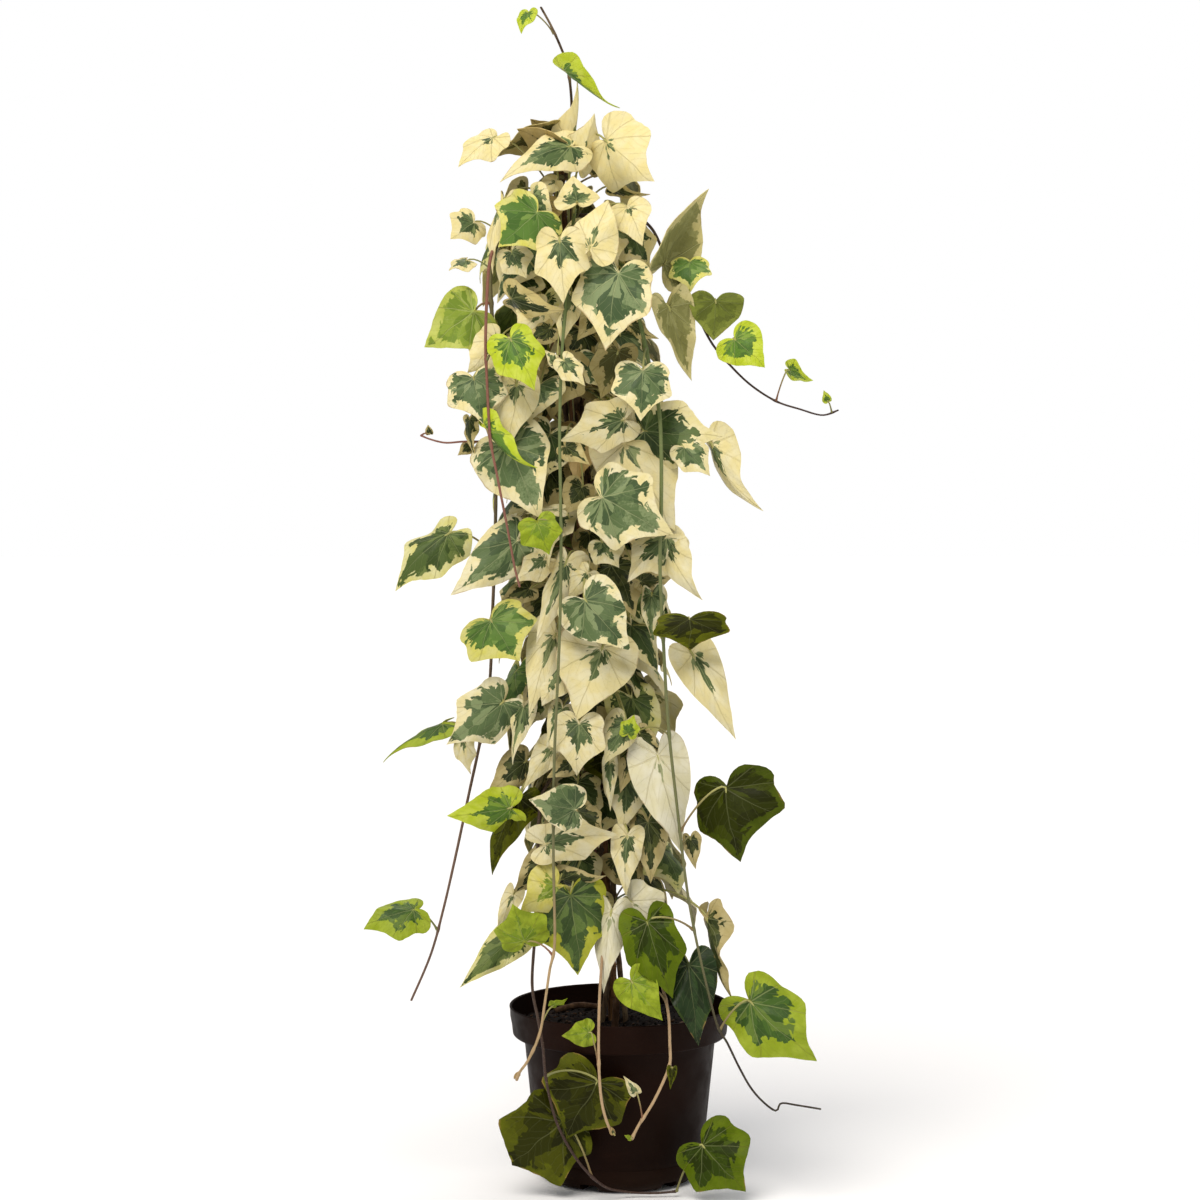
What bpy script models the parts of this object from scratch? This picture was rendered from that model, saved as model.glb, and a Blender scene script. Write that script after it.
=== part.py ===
# Variegated ivy on a stake in a round nursery pot. Metres, +Z up, the origin under the middle of the pot.
import math

import bmesh
import bpy
from mathutils import Matrix, Vector
from mathutils.geometry import interpolate_bezier

MM = 0.001  # the lists below are in millimetres

# Pot
POT_HEIGHT = 0.147
RIM_RADIUS = 0.095
RIM_DEPTH = 0.025  # height of the rim band
RIM_DRAFT = 0.003  # how much narrower the rim band is at its lower edge
BODY_RADIUS = 0.0825  # body just under the rim band
BASE_RADIUS = 0.070
CORNER_RADIUS = 0.012  # rounding between the body and the foot
CORNER_STEPS = 3
POT_WALL = 0.0016
FOOT_RING_WIDTH = 0.009
FLOOR_LIFT = 0.006  # the floor stands this far above the foot ring's underside
PAD_RADIUS = 0.013  # flat pad under the middle of the floor
TURNED_STEPS = 36

# Drainage notches
NOTCH_COUNT = 6
NOTCH_WIDTH = 0.016
NOTCH_HEIGHT = 0.007
FIRST_NOTCH_ANGLE = math.radians(-113)

# Soil
SOIL_DROP = 0.016  # soil surface below the rim, at the wall
SOIL_MOUND = 0.004  # how much higher the soil is at the middle
SOIL_RISES = ((0.35, 0.7), (0.70, 0.2))  # share of the rim's radius, share of the mound's height there
CLEARANCE = 0.0003  # between pieces that touch
OVER_RIM = 0.008  # what hangs down beside the pot is clear of it from this far above its rim

# Stake
STAKE_OFF_FLOOR = 0.0044  # between the stake's foot and the pot's floor
STAKE_FOOT = Vector((0.003, 0.0, FLOOR_LIFT + POT_WALL + STAKE_OFF_FLOOR))
STAKE_TOP = Vector((-0.0534, 0.0058, 0.880))
STAKE_RADIUS = 0.005
STAKE_ROUNDNESS = 2  # bevel resolution

# Climbing stems: three, wound round the stake
CLIMBER_COUNT = 3
CLIMBER_RADIUS = 0.0024
CLIMBER_GAP = 0.0006  # between a climbing stem and the stake
CLIMBER_PITCH = 0.34  # height of one turn
CLIMBER_PHASE = 0.187  # share of a turn that the first stem's helix is turned by
CLIMBER_ROOT = 0.031  # how deep the stems reach into the soil
CLIMBER_FLARE = 0.010  # how much wider the stems stand at their lowest point
FLARE_RISE = 0.039  # this far above the soil the stems lie on the stake
FLARE_CURVE = 1.5
CLIMBER_TOPS = (0.840, 0.862, 0.800)
CLIMBER_STEP = 0.028
CLIMBER_THINNING = (0.8, 0.4, 0.8)  # share of the radius that is left at the top
LOWEST_HOLD = 0.02  # no petiole grows nearer to the soil than this

# Ties round the stake and its stems
TIE_HEIGHTS = (0.340, 0.580, 0.760)
TIE_RADIUS = 0.0007
TIE_SIDES = 6
TIE_STEPS = 20

# Leaves
BLADE_THICKNESS = 0.0005
PETIOLE_RADIUS = 0.0008
PETIOLE_INTO_BLADE = 0.07  # share of the blade's length that the petiole runs along it
PETIOLE_KNEES = (0.3, 0.75)  # where along its way a petiole is pulled up
PETIOLE_RISE = 0.22  # and how far, as a share of its reach
PETIOLE_STEPS = 5
BLADE_CENTRE = 0.12  # point of the midrib that the outline is measured round

# Half outline of a blade one unit long: across, along. It runs from the tip to the notch at the petiole.
HALF_OUTLINE = (
    (0.0, 1.0), (0.12, 0.76), (0.32, 0.48), (0.48, 0.08), (0.42, -0.15), (0.22, -0.26), (0.09, -0.20),
    (0.0, -0.04),
)
OUTLINE_WIDTH = 0.96

# Meshes
ROUTE_PIECES = 2  # pieces of a stem to each span between its points
MERGE_DISTANCE = 0.00001
SMOOTH_ANGLE = math.radians(40)

# Ends of the climbing stems above the helix, mm
CUT_STUB = ((-45, -7, 858), (-33, -12, 868), (-21, -18, 882))
LEADER = (
    (-42, 6, 884), (-41, 2, 909), (-42, 0, 930), (-45, -2, 950), (-51, -4, 966), (-59, -6, 983),
    (-67, -8, 997),
)

# Hanging stems: what they branch from, thick end radius, thin end radius, colour, and the route in mm
HANGING_STEMS = {
    "left_long": ("climbing_stem_1", 1.9, 1.0, "grey_brown", (
        (-61, -14, 854), (-76, -26, 837), (-95, -36, 812), (-108, -45, 774), (-106, -48, 717),
        (-104, -46, 658), (-104, -46, 600), (-105, -44, 541), (-107, -42, 491), (-110, -40, 424),
        (-118, -38, 377), (-128, -36, 331), (-139, -34, 280), (-150, -30, 233), (-161, -26, 194),
        (-178, -20, 154),
    )),
    "left_short": ("left_long", 1.4, 0.9, "reddish", (
        (-106, -62, 786), (-109, -72, 766), (-111, -78, 715), (-110, -80, 682), (-107, -86, 632),
        (-101, -90, 599), (-93, -90, 558), (-87, -88, 525), (-83, -86, 509),
    )),
    "centre": ("climber", 1.5, 1.1, "green", (
        (-38, -34, 823), (-41, -62, 791), (-45, -78, 739), (-48, -84, 702), (-50, -92, 640),
        (-49, -98, 574), (-49, -100, 509), (-51, -102, 444), (-54, -102, 379), (-55, -102, 330),
        (-55, -104, 281), (-54, -108, 220), (-58, -112, 197), (-62, -116, 170), (-66, -116, 146),
        (-75, -116, 125), (-83, -114, 113), (-85, -112, 107),
    )),
    "front_floor": ("climber", 1.6, 1.0, "dark_brown", (
        (-62, -50, 341), (-68, -60, 313), (-69, -68, 268), (-71, -78, 220), (-73, -86, 180),
        (-68, -96, 154), (-64, -102, 134), (-62, -103, 111), (-58, -103, 89), (-52, -102, 68),
        (-42, -99, 47), (-29, -95, 28), (-13, -87, 12), (3, -80, 6), (16, -77, 4), (32, -77, 4),
        (46, -76, 5),
    )),
    "right_long": ("climber", 1.9, 0.8, "green", (
        (6, -40, 793), (11, -52, 750), (17, -62, 724), (24, -72, 690), (31, -82, 657), (33, -90, 624),
        (33, -96, 574), (32, -98, 525), (35, -98, 460), (39, -98, 395), (46, -98, 330), (54, -98, 264),
        (61, -100, 224), (71, -106, 180), (79, -112, 151), (87, -112, 137), (97, -108, 116),
        (107, -104, 98), (118, -100, 85), (128, -98, 78), (132, -97, 84), (145, -95, 82), (165, -92, 78),
    )),
    "arch_right": ("climber", 1.5, 0.7, "dark_brown", (
        (17, -20, 817), (38, -30, 786), (53, -40, 759), (62, -48, 739), (75, -55, 712), (89, -60, 694),
        (107, -64, 676), (128, -68, 662), (148, -72, 655), (166, -75, 650), (179, -77, 654),
    )),
    "side_left": ("left_long", 1.0, 0.7, "reddish", (
        (-117, -50, 629), (-131, -50, 629), (-146, -52, 628), (-159, -54, 631), (-166, -55, 634),
    )),
    "dangler_mid": ("climber", 1.2, 1.2, "tan", (
        (-12, -60, 238), (-15, -96, 207), (-17, -106, 180), (-18, -112, 153), (-18, -114, 121),
        (-16, -113, 92), (-12, -112, 74), (-7, -110, 62),
    )),
    "dangler_right": ("climber", 1.3, 1.2, "tan", (
        (28, -75, 195), (35, -92, 177), (39, -104, 159), (40, -110, 136), (40, -111, 120), (34, -112, 104),
        (25, -112, 86), (15, -111, 70), (9, -110, 58),
    )),
}

# Leaves, mm: name, stem, height on the stem, base, tip, width, turn in degrees, arch, fold, colour.
# Turn 0 faces the front; arch bows the blade along its length and fold bends it along the midrib.
LEAVES = (
    ("leader_right", "climbing_stem_2", 939, (-47, -22, 942), (1, -24, 911), 32, 78, 0.08, 0.3, "lime"),
    ("crown_right", "climbing_stem_2", 880, (-11, -36, 888), (28, -60, 842), 66, 0, 0.1, 0.1, "cream"),
    ("crown_left", "climbing_stem_1", 838, (-107, -22, 885), (-134, -36, 857), 37, 0, 0.08, 0.1, "cream"),
    ("green_upper_left", "climber", 827, (-69, -74, 816), (-98, -86, 785), 56, 0, 0.08, 0.05, "green"),
    ("pale_underside", "arch_right", 786, (37, -44, 777), (77, -40, 838), 46, 180, 0.1, 0.25, "marbled"),
    ("big_upper_centre", "climber", 769, (-2, -84, 765), (-12, -98, 702), 64, 0, 0.08, 0.05, "marbled"),
    ("left_light_green", "left_long", 744, (-122, -58, 736), (-161, -66, 706), 55, 0, 0.06, 0.05, "lime"),
    ("arch_heart", "arch_right", 731, (79, -60, 745), (79, -66, 712), 48, 175, 0.08, 0.1, "green"),
    ("arch_lime", "arch_right", 696, (94, -76, 712), (118, -86, 689), 41, 0, 0.08, 0.1, "lime"),
    ("right_big_dark", "climber", 638, (20, -66, 637), (82, -84, 630), 56, 0, 0.1, 0.1, "green"),
    ("far_right", "climber", 634, (76, -50, 627), (116, -60, 570), 32, 35, 0.15, 0.4, "cream"),
    ("big_left_centre", "climber", 627, (-94, -72, 626), (-61, -90, 568), 66, 0, 0.05, 0.05, "marbled"),
    ("front_right_big", "climber", 583, (-15, -90, 582), (41, -110, 552), 62, 0, 0.06, 0.05, "marbled"),
    ("left_hanging", "left_long", 534, (-144, -46, 552), (-191, -54, 508), 44, 20, 0.08, 0.2, "green"),
    ("left_marbled", "left_long", 541, (-86, -68, 546), (-137, -78, 498), 45, 0, 0.06, 0.05, "marbled"),
    ("centre_grey", "climber", 498, (-29, -94, 498), (5, -108, 456), 55, 0, 0.06, 0.05, "marbled"),
    ("left_yellow", "left_long", 482, (-107, -68, 480), (-85, -80, 446), 64, 0, 0.05, 0.05, "green"),
    ("right_olive", "right_long", 468, (56, -106, 483), (57, -112, 458), 57, 0, 0.1, 0.1, "olive"),
    ("right_cream_drop", "climber", 491, (59, -90, 454), (96, -98, 385), 41, 0, 0.12, 0.15, "cream"),
    ("cream_big_centre", "climber", 457, (-15, -82, 459), (-33, -92, 399), 69, 0, 0.06, 0.05, "cream"),
    ("left_grey", "left_long", 415, (-98, -66, 412), (-142, -76, 375), 45, 0, 0.06, 0.05, "marbled"),
    ("left_edge_lime", "left_long", 380, (-149, -46, 392), (-198, -52, 360), 30, 62, 0.08, 0.2, "lime"),
    ("white_right", "climber", 365, (31, -80, 369), (46, -90, 291), 51, 0, 0.08, 0.1, "cream"),
    ("right_big_green", "right_long", 309, (86, -98, 344), (101, -108, 286), 77, 20, 0.08, 0.25, "olive"),
    ("left_lime_low", "climber", 320, (-92, -66, 324), (-143, -76, 317), 36, 0, 0.06, 0.1, "lime"),
    ("left_marbled_low", "climber", 213, (-87, -70, 219), (-132, -80, 175), 35, 10, 0.1, 0.1, "green"),
    ("big_green_low", "climber", 249, (-41, -86, 254), (-33, -100, 191), 62, 0, 0.06, 0.05, "green"),
    ("green_lime_low", "right_long", 228, (22, -98, 234), (39, -108, 172), 49, 0, 0.08, 0.05, "green"),
    ("dark_low_right", "climber", 207, (56, -90, 197), (59, -104, 133), 47, 0, 0.08, 0.1, "green"),
    ("right_low_lime", "right_long", 148, (107, -92, 167), (157, -100, 115), 57, 0, 0.1, 0.08, "lime"),
    ("pot_left", "front_floor", 21, (-48, -84, 66), (-90, -82, 28), 74, 0, 0.03, 0.0, "olive"),
    ("pot_front", "front_floor", 108, (-19, -93, 101), (-45, -90, 54), 70, 0, 0.03, 0.05, "olive"),
    ("floor_right", "front_floor", 5, (68, -86, 46), (103, -96, 10), 60, 0, 0.06, 0.05, "green"),
    ("far_left", "left_long", 216, (-175, -32, 233), (-217, -40, 220), 40, 30, 0.08, 0.15, "lime"),
)

# Leaves on the back of the plant: height in mm, direction in degrees from +X, colour
BACK_LEAVES = (
    (800, 68, "cream"), (735, 125, "marbled"), (670, 50, "cream"), (600, 105, "marbled"),
    (530, 60, "green"), (455, 130, "cream"), (375, 80, "marbled"), (290, 115, "green"),
)
BACK_LEAF_REACH = 58  # from the stake to the leaf's base
BACK_LEAF_FALL = 54  # from the base down to the tip
BACK_LEAF_LEAN = 14  # how much further out the tip is
BACK_LEAF_WIDTH = 58
BACK_LEAF_ARCH = 0.08
BACK_LEAF_FOLD = 0.1

# Principled base colour and roughness
COLOURS = {
    "pot": (0.022, 0.010, 0.009, 0.45),
    "soil": (0.012, 0.008, 0.006, 0.95),
    "cane": (0.20, 0.10, 0.07, 0.70),
    "tie": (0.05, 0.09, 0.04, 0.50),
    "bark": (0.17, 0.11, 0.06, 0.80),
    "grey_brown": (0.16, 0.12, 0.08, 0.75),
    "reddish": (0.25, 0.11, 0.07, 0.65),
    "green": (0.11, 0.22, 0.05, 0.50),
    "dark_brown": (0.07, 0.035, 0.025, 0.70),
    "tan": (0.45, 0.30, 0.17, 0.70),
    "cream": (0.84, 0.75, 0.44, 0.45),
    "marbled": (0.30, 0.38, 0.22, 0.45),
    "lime": (0.45, 0.60, 0.06, 0.40),
    "olive": (0.09, 0.13, 0.02, 0.40),
}


def clear_scene():
    for obj in list(bpy.data.objects):
        bpy.data.objects.remove(obj, do_unlink=True)


def new_collection(name, hidden=False):
    collection = bpy.data.collections.new(name)
    bpy.context.scene.collection.children.link(collection)
    collection.hide_render = hidden
    return collection


def finish(obj, collection, colour):
    """Link the object, give it a material of its own and shade it smooth."""
    collection.objects.link(obj)
    material = bpy.data.materials.new(obj.name)
    material.use_nodes = True
    shader = material.node_tree.nodes["Principled BSDF"]
    *base, roughness = COLOURS[colour]
    shader.inputs["Base Color"].default_value = (*base, 1.0)
    shader.inputs["Roughness"].default_value = roughness
    obj.data.materials.append(material)
    if obj.type == "MESH":
        obj.data.shade_smooth()
        obj.data.set_sharp_from_angle(angle=SMOOTH_ANGLE)
    return obj


def as_cutter(obj, collection):
    collection.objects.link(obj)
    obj.hide_render = True
    obj.display_type = "WIRE"
    return obj


def object_from(bm, name):
    mesh = bpy.data.meshes.new(name)
    bm.to_mesh(mesh)
    bm.free()
    return bpy.data.objects.new(name, mesh)


def boolean(obj, other, operation):
    modifier = obj.modifiers.new(other.name, "BOOLEAN")
    modifier.operation = operation
    modifier.solver = "EXACT"
    modifier.object = other


def turned(name, profile):
    """A solid of revolution about Z. The profile of (radius, height) runs down its outer side."""
    bm = bmesh.new()
    corners = [bm.verts.new((radius, 0.0, height)) for radius, height in profile]
    for start, end in zip(corners, corners[1:]):
        bm.edges.new((start, end))
    obj = object_from(bm, name)
    screw = obj.modifiers.new("Turn", "SCREW")
    screw.steps = screw.render_steps = TURNED_STEPS
    screw.use_merge_vertices = True
    screw.merge_threshold = MERGE_DISTANCE
    return obj


def smooth_route(points):
    """Points of a smooth curve through the given ones."""
    route = [Vector(points[0])]
    for i in range(len(points) - 1):
        start, end = Vector(points[i]), Vector(points[i + 1])
        before = Vector(points[max(i - 1, 0)])
        after = Vector(points[min(i + 2, len(points) - 1)])
        leave = start + (end - before) / 6
        arrive = end - (after - start) / 6
        route += interpolate_bezier(start, leave, arrive, end, ROUTE_PIECES + 1)[1:]
    return route


def tube(name, route, start_radius, end_radius=None, resolution=1):
    """A curve object along the route, thinning evenly from its start to its end."""
    end_radius = start_radius if end_radius is None else end_radius
    curve = bpy.data.curves.new(name, "CURVE")
    curve.dimensions = "3D"
    curve.bevel_depth = start_radius
    curve.bevel_resolution = resolution
    curve.use_fill_caps = True
    spline = curve.splines.new("POLY")
    spline.points.add(len(route) - 1)
    for i, (point, place) in enumerate(zip(spline.points, route)):
        point.co = (*place, 1.0)
        share = i / (len(route) - 1)
        point.radius = 1 + share * (end_radius / start_radius - 1)
    return bpy.data.objects.new(name, curve)


def as_mesh(curve_object, collection):
    """A closed mesh object with the curve's shape and place, for joining or cutting."""
    collection.objects.link(curve_object)
    bpy.context.view_layer.update()
    graph = bpy.context.evaluated_depsgraph_get()
    mesh = bpy.data.meshes.new_from_object(curve_object.evaluated_get(graph))
    bm = bmesh.new()
    bm.from_mesh(mesh)
    bmesh.ops.remove_doubles(bm, verts=bm.verts, dist=MERGE_DISTANCE)
    bm.to_mesh(mesh)
    bm.free()
    name = curve_object.name
    obj = bpy.data.objects.new(name, mesh)
    obj.matrix_world = curve_object.matrix_world
    bpy.data.objects.remove(curve_object)
    obj.name = name
    return obj


def millimetres(points):
    return [Vector(point) * MM for point in points]


# Pot and soil


def body_radius_at(height):
    """Outer radius of the pot's tapering body, between its foot and its rim band."""
    share = height / (POT_HEIGHT - RIM_DEPTH)
    return BASE_RADIUS + (BODY_RADIUS - BASE_RADIUS) * share


def make_pot(parts, cutters):
    ledge = POT_HEIGHT - RIM_DEPTH
    floor_top = FLOOR_LIFT + POT_WALL
    foot = body_radius_at(CORNER_RADIUS) - CORNER_RADIUS
    inner_foot = body_radius_at(floor_top + CORNER_RADIUS) - CORNER_RADIUS - POT_WALL
    corner = []
    for i in range(CORNER_STEPS + 1):
        angle = i / CORNER_STEPS * math.pi / 2
        corner.append((math.cos(angle), CORNER_RADIUS * (1 - math.sin(angle))))
    inside = [(inner_foot + CORNER_RADIUS * across, floor_top + height) for across, height in corner]
    outside = [(foot + CORNER_RADIUS * across, height) for across, height in corner]
    band_foot = RIM_RADIUS - RIM_DRAFT
    profile = [(0.0, floor_top), *reversed(inside)]
    profile += [
        (body_radius_at(ledge) - POT_WALL, ledge),
        (band_foot - POT_WALL, ledge + POT_WALL),
        (RIM_RADIUS - POT_WALL, POT_HEIGHT - POT_WALL),
        (RIM_RADIUS - POT_WALL, POT_HEIGHT),
        (RIM_RADIUS, POT_HEIGHT),
        (band_foot, ledge),
        (body_radius_at(ledge), ledge - POT_WALL),
        *outside,
        (foot - FOOT_RING_WIDTH, 0.0),
        (foot - FOOT_RING_WIDTH - FLOOR_LIFT / 2, FLOOR_LIFT),
        (PAD_RADIUS + FLOOR_LIFT / 2, FLOOR_LIFT),
        (PAD_RADIUS, 0.0),
        (0.0, 0.0),
    ]
    pot = turned("pot", profile)
    for i in range(NOTCH_COUNT):
        angle = FIRST_NOTCH_ANGLE + i * math.tau / NOTCH_COUNT
        outer, inner = BASE_RADIUS + CORNER_RADIUS, foot - FOOT_RING_WIDTH - FLOOR_LIFT
        bm = bmesh.new()
        size = Matrix.Diagonal((outer - inner, NOTCH_WIDTH, 2 * NOTCH_HEIGHT, 1.0))
        bmesh.ops.create_cube(bm, size=1.0, matrix=Matrix.Translation(((outer + inner) / 2, 0, 0)) @ size)
        notch = as_cutter(object_from(bm, f"notch_cutter_{i + 1}"), cutters)
        notch.rotation_euler.z = angle
        boolean(pot, notch, "DIFFERENCE")
    return finish(pot, parts, "pot")


def pot_reach(height):
    """Outer radius of the pot at a height, and nothing well above its rim."""
    if height > POT_HEIGHT + OVER_RIM:
        return 0.0
    return RIM_RADIUS if height > POT_HEIGHT - RIM_DEPTH - POT_WALL else body_radius_at(height)


def push_off_pot(places, radius):
    """How far a piece with these points has to move outwards to hang clear of the pot's side."""
    return max(0.0, max(pot_reach(place.z) + radius + CLEARANCE - place.xy.length for place in places))


def moved_out(place, distance):
    out = Vector((place.x, place.y, 0.0)).normalized()
    return place + distance * out


def soil_height():
    return POT_HEIGHT - SOIL_DROP


def make_soil(parts):
    ledge = POT_HEIGHT - RIM_DEPTH
    wall = POT_WALL + CLEARANCE
    bottom = FLOOR_LIFT + POT_WALL + CLEARANCE
    above_corner = bottom + CORNER_RADIUS
    top = soil_height()
    rise = (top - ledge) / RIM_DEPTH
    band_radius = RIM_RADIUS - RIM_DRAFT * (1 - rise)
    profile = [
        (0.0, top + SOIL_MOUND),
        *((across * RIM_RADIUS, top + height * SOIL_MOUND) for across, height in SOIL_RISES),
        (band_radius - wall - CLEARANCE, top),
        (RIM_RADIUS - RIM_DRAFT - wall - CLEARANCE, ledge + wall + CLEARANCE),
        (body_radius_at(ledge) - wall - CLEARANCE, ledge),
        (body_radius_at(above_corner) - wall - CLEARANCE, above_corner),
        (body_radius_at(above_corner) - CORNER_RADIUS - wall, bottom),
        (0.0, bottom),
    ]
    return finish(turned("soil", profile), parts, "soil")


def make_hole(soil, piece_name, route, start_radius, end_radius, cutters):
    """Cut the soil clear of a tube that stands in it."""
    name = piece_name + "_hole"
    hole = as_mesh(tube(name, route, start_radius + CLEARANCE, end_radius + CLEARANCE), cutters)
    boolean(soil, as_cutter(hole, cutters), "DIFFERENCE")


# Stake, climbing stems and ties


def stake_point(height):
    share = (height - STAKE_FOOT.z) / (STAKE_TOP.z - STAKE_FOOT.z)
    return STAKE_FOOT.lerp(STAKE_TOP, share)


def climber_start():
    return soil_height() - CLIMBER_ROOT


def climber_angle(number, height):
    return math.tau * (CLIMBER_PHASE + number / CLIMBER_COUNT + height / CLIMBER_PITCH)


def climber_orbit():
    return STAKE_RADIUS + CLIMBER_GAP + CLIMBER_RADIUS


def climber_point(number, height):
    rise = (height - climber_start()) / (CLIMBER_ROOT + FLARE_RISE)
    flare = max(0.0, 1 - rise) ** FLARE_CURVE
    orbit = climber_orbit() + CLIMBER_FLARE * flare
    angle = climber_angle(number, height)
    return stake_point(height) + orbit * Vector((math.cos(angle), math.sin(angle), 0.0))


def climber_route(number):
    top = CLIMBER_TOPS[number]
    length = top - climber_start()
    steps = round(length / CLIMBER_STEP)
    return [climber_point(number, top - length * i / steps) for i in range(steps, -1, -1)]


def make_stake(parts, soil, cutters):
    direction = (STAKE_TOP - STAKE_FOOT).normalized()
    stake = tube("stake", [STAKE_FOOT, STAKE_TOP], STAKE_RADIUS, resolution=STAKE_ROUNDNESS)
    hole_route = [STAKE_FOOT - CLEARANCE * direction, STAKE_TOP]
    hole = tube("stake_hole", hole_route, STAKE_RADIUS + 2 * CLEARANCE, resolution=STAKE_ROUNDNESS)
    boolean(soil, as_cutter(as_mesh(hole, cutters), cutters), "DIFFERENCE")
    return finish(stake, parts, "cane")


def make_climbers(parts, soil, routes, cutters):
    endings = {0: millimetres(CUT_STUB), 1: millimetres(LEADER)}
    for number in range(CLIMBER_COUNT):
        name = f"climbing_stem_{number + 1}"
        wound = climber_route(number)
        route = wound
        if number in endings:
            joined = [wound[-2], wound[-1], *endings[number]]
            route = wound[:-2] + smooth_route(joined)
        routes[name] = route
        end_radius = CLIMBER_THINNING[number] * CLIMBER_RADIUS
        finish(tube(name, route, CLIMBER_RADIUS, end_radius), parts, "bark")
        below = wound[0] - (wound[1] - wound[0]).normalized() * 2 * CLEARANCE
        hole_route = [below] + [point for point in wound if point.z < POT_HEIGHT + CLIMBER_STEP]
        hole_radius = CLIMBER_RADIUS + CLEARANCE
        make_hole(soil, name, hole_route, hole_radius, hole_radius, cutters)


def make_ties(parts):
    along_stake = (STAKE_TOP - STAKE_FOOT).to_track_quat("Z", "Y").to_matrix().to_4x4()
    ring_radius = climber_orbit() + CLIMBER_RADIUS + TIE_RADIUS + CLEARANCE
    upright = Matrix.Translation((ring_radius, 0, 0)) @ Matrix.Rotation(math.pi / 2, 4, "X")
    for number, height in enumerate(TIE_HEIGHTS, 1):
        bm = bmesh.new()
        bmesh.ops.create_circle(bm, segments=TIE_SIDES, radius=TIE_RADIUS, matrix=upright)
        bmesh.ops.spin(
            bm, geom=bm.verts[:] + bm.edges[:], cent=(0, 0, 0), axis=(0, 0, 1), angle=math.tau,
            steps=TIE_STEPS, use_merge=True,
        )
        bmesh.ops.remove_doubles(bm, verts=bm.verts, dist=MERGE_DISTANCE)
        bmesh.ops.recalc_face_normals(bm, faces=bm.faces)
        tie = object_from(bm, f"tie_{number}")
        tie.matrix_world = Matrix.Translation(stake_point(height)) @ along_stake
        finish(tie, parts, "tie")


# Hanging stems and leaves


def point_at(route, height):
    """The last place on a route that is at this height, or else its point nearest to it."""
    for end, start in zip(route[::-1], route[-2::-1]):
        if min(start.z, end.z) <= height <= max(start.z, end.z) and start.z != end.z:
            return start.lerp(end, (height - start.z) / (end.z - start.z))
    return min(route, key=lambda point: abs(point.z - height))


def climber_hold(base, height):
    """Where a petiole starts: on the climbing stem that faces the leaf's base nearest to the height."""
    towards = base - stake_point(height)
    facing = math.atan2(towards.y, towards.x)
    best = None
    for number in range(CLIMBER_COUNT):
        away = (facing - climber_angle(number, height)) % math.tau
        for turn in (away, away - math.tau):
            place = height + turn / math.tau * CLIMBER_PITCH
            if place > CLIMBER_TOPS[number] or place < soil_height() + LOWEST_HOLD:
                continue
            if best is None or abs(place - height) < abs(best[1] - height):
                best = (number, place)
    return climber_point(*best)


def branch_start(stem, height, towards, radius, routes):
    """Where a petiole or stem of this radius starts, just clear of the stem that it grows on."""
    stem_radius = HANGING_STEMS[stem][1] * MM if stem in HANGING_STEMS else CLIMBER_RADIUS
    centre = climber_hold(towards, height) if stem == "climber" else point_at(routes[stem], height)
    away = towards - centre
    away.z = 0.0
    return centre + away.normalized() * (stem_radius + radius + CLEARANCE)


def polar_outline():
    """The outline as (angle from the tip, distance) round the blade's centre, once round."""
    half = []
    for across, along in HALF_OUTLINE:
        height = along - BLADE_CENTRE
        half.append((math.atan2(across, height), math.hypot(across, height)))
    return half + [(math.tau - angle, distance) for angle, distance in reversed(half[1:-1])]


def bend(across, along, arch, fold):
    """Height of the blade above its own plane, for a blade one unit long."""
    return 4 * arch * max(along, 0.0) * (1 - along) - fold * abs(across)


def make_blade(name, length, width, arch, fold):
    outline = polar_outline()
    bm = bmesh.new()
    bmesh.ops.create_circle(bm, cap_ends=True, cap_tris=True, segments=len(outline), radius=1.0)
    spokes = [edge for edge in bm.edges if not edge.is_boundary]
    bmesh.ops.subdivide_edges(bm, edges=spokes, cuts=1)
    step = math.tau / len(outline)
    for vertex in bm.verts:
        share = vertex.co.length
        number = round(math.atan2(vertex.co.x, vertex.co.y) / step) % len(outline)
        angle, distance = outline[number]
        across = share * distance * math.sin(angle)
        along = BLADE_CENTRE + share * distance * math.cos(angle)
        vertex.co = (across * width / OUTLINE_WIDTH, along * length, bend(across, along, arch, fold) * length)
    bmesh.ops.triangulate(bm, faces=bm.faces)
    bmesh.ops.recalc_face_normals(bm, faces=bm.faces)
    obj = object_from(bm, name)
    shell = obj.modifiers.new("Thickness", "SOLIDIFY")
    shell.thickness = BLADE_THICKNESS
    shell.offset = 0.0
    return obj


def blade_matrix(base, tip, turn):
    """Blade frame: Y from base to tip, Z out of the face, which looks to the front before the turn."""
    along = (tip - base).normalized()
    front = Vector((0.0, -1.0, 0.0))
    normal = (front - front.dot(along) * along).normalized()
    normal.rotate(Matrix.Rotation(math.radians(turn), 3, along))
    across = along.cross(normal)
    turned_axes = Matrix((across, along, normal)).transposed().to_4x4()
    return Matrix.Translation(base) @ turned_axes


def back_leaves():
    """Rows like those of LEAVES for the leaves that face the back and the sides."""
    rows = []
    for number, (height, direction, colour) in enumerate(BACK_LEAVES, 1):
        stake = stake_point(height * MM) / MM
        out = Vector((math.cos(math.radians(direction)), math.sin(math.radians(direction)), 0.0))
        base = stake + BACK_LEAF_REACH * out
        tip = base + BACK_LEAF_LEAN * out - Vector((0.0, 0.0, BACK_LEAF_FALL))
        rows.append((
            f"back_{number}", "climber", height, base, tip, BACK_LEAF_WIDTH, -90 - direction,
            BACK_LEAF_ARCH, BACK_LEAF_FOLD, colour,
        ))
    return rows


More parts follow.
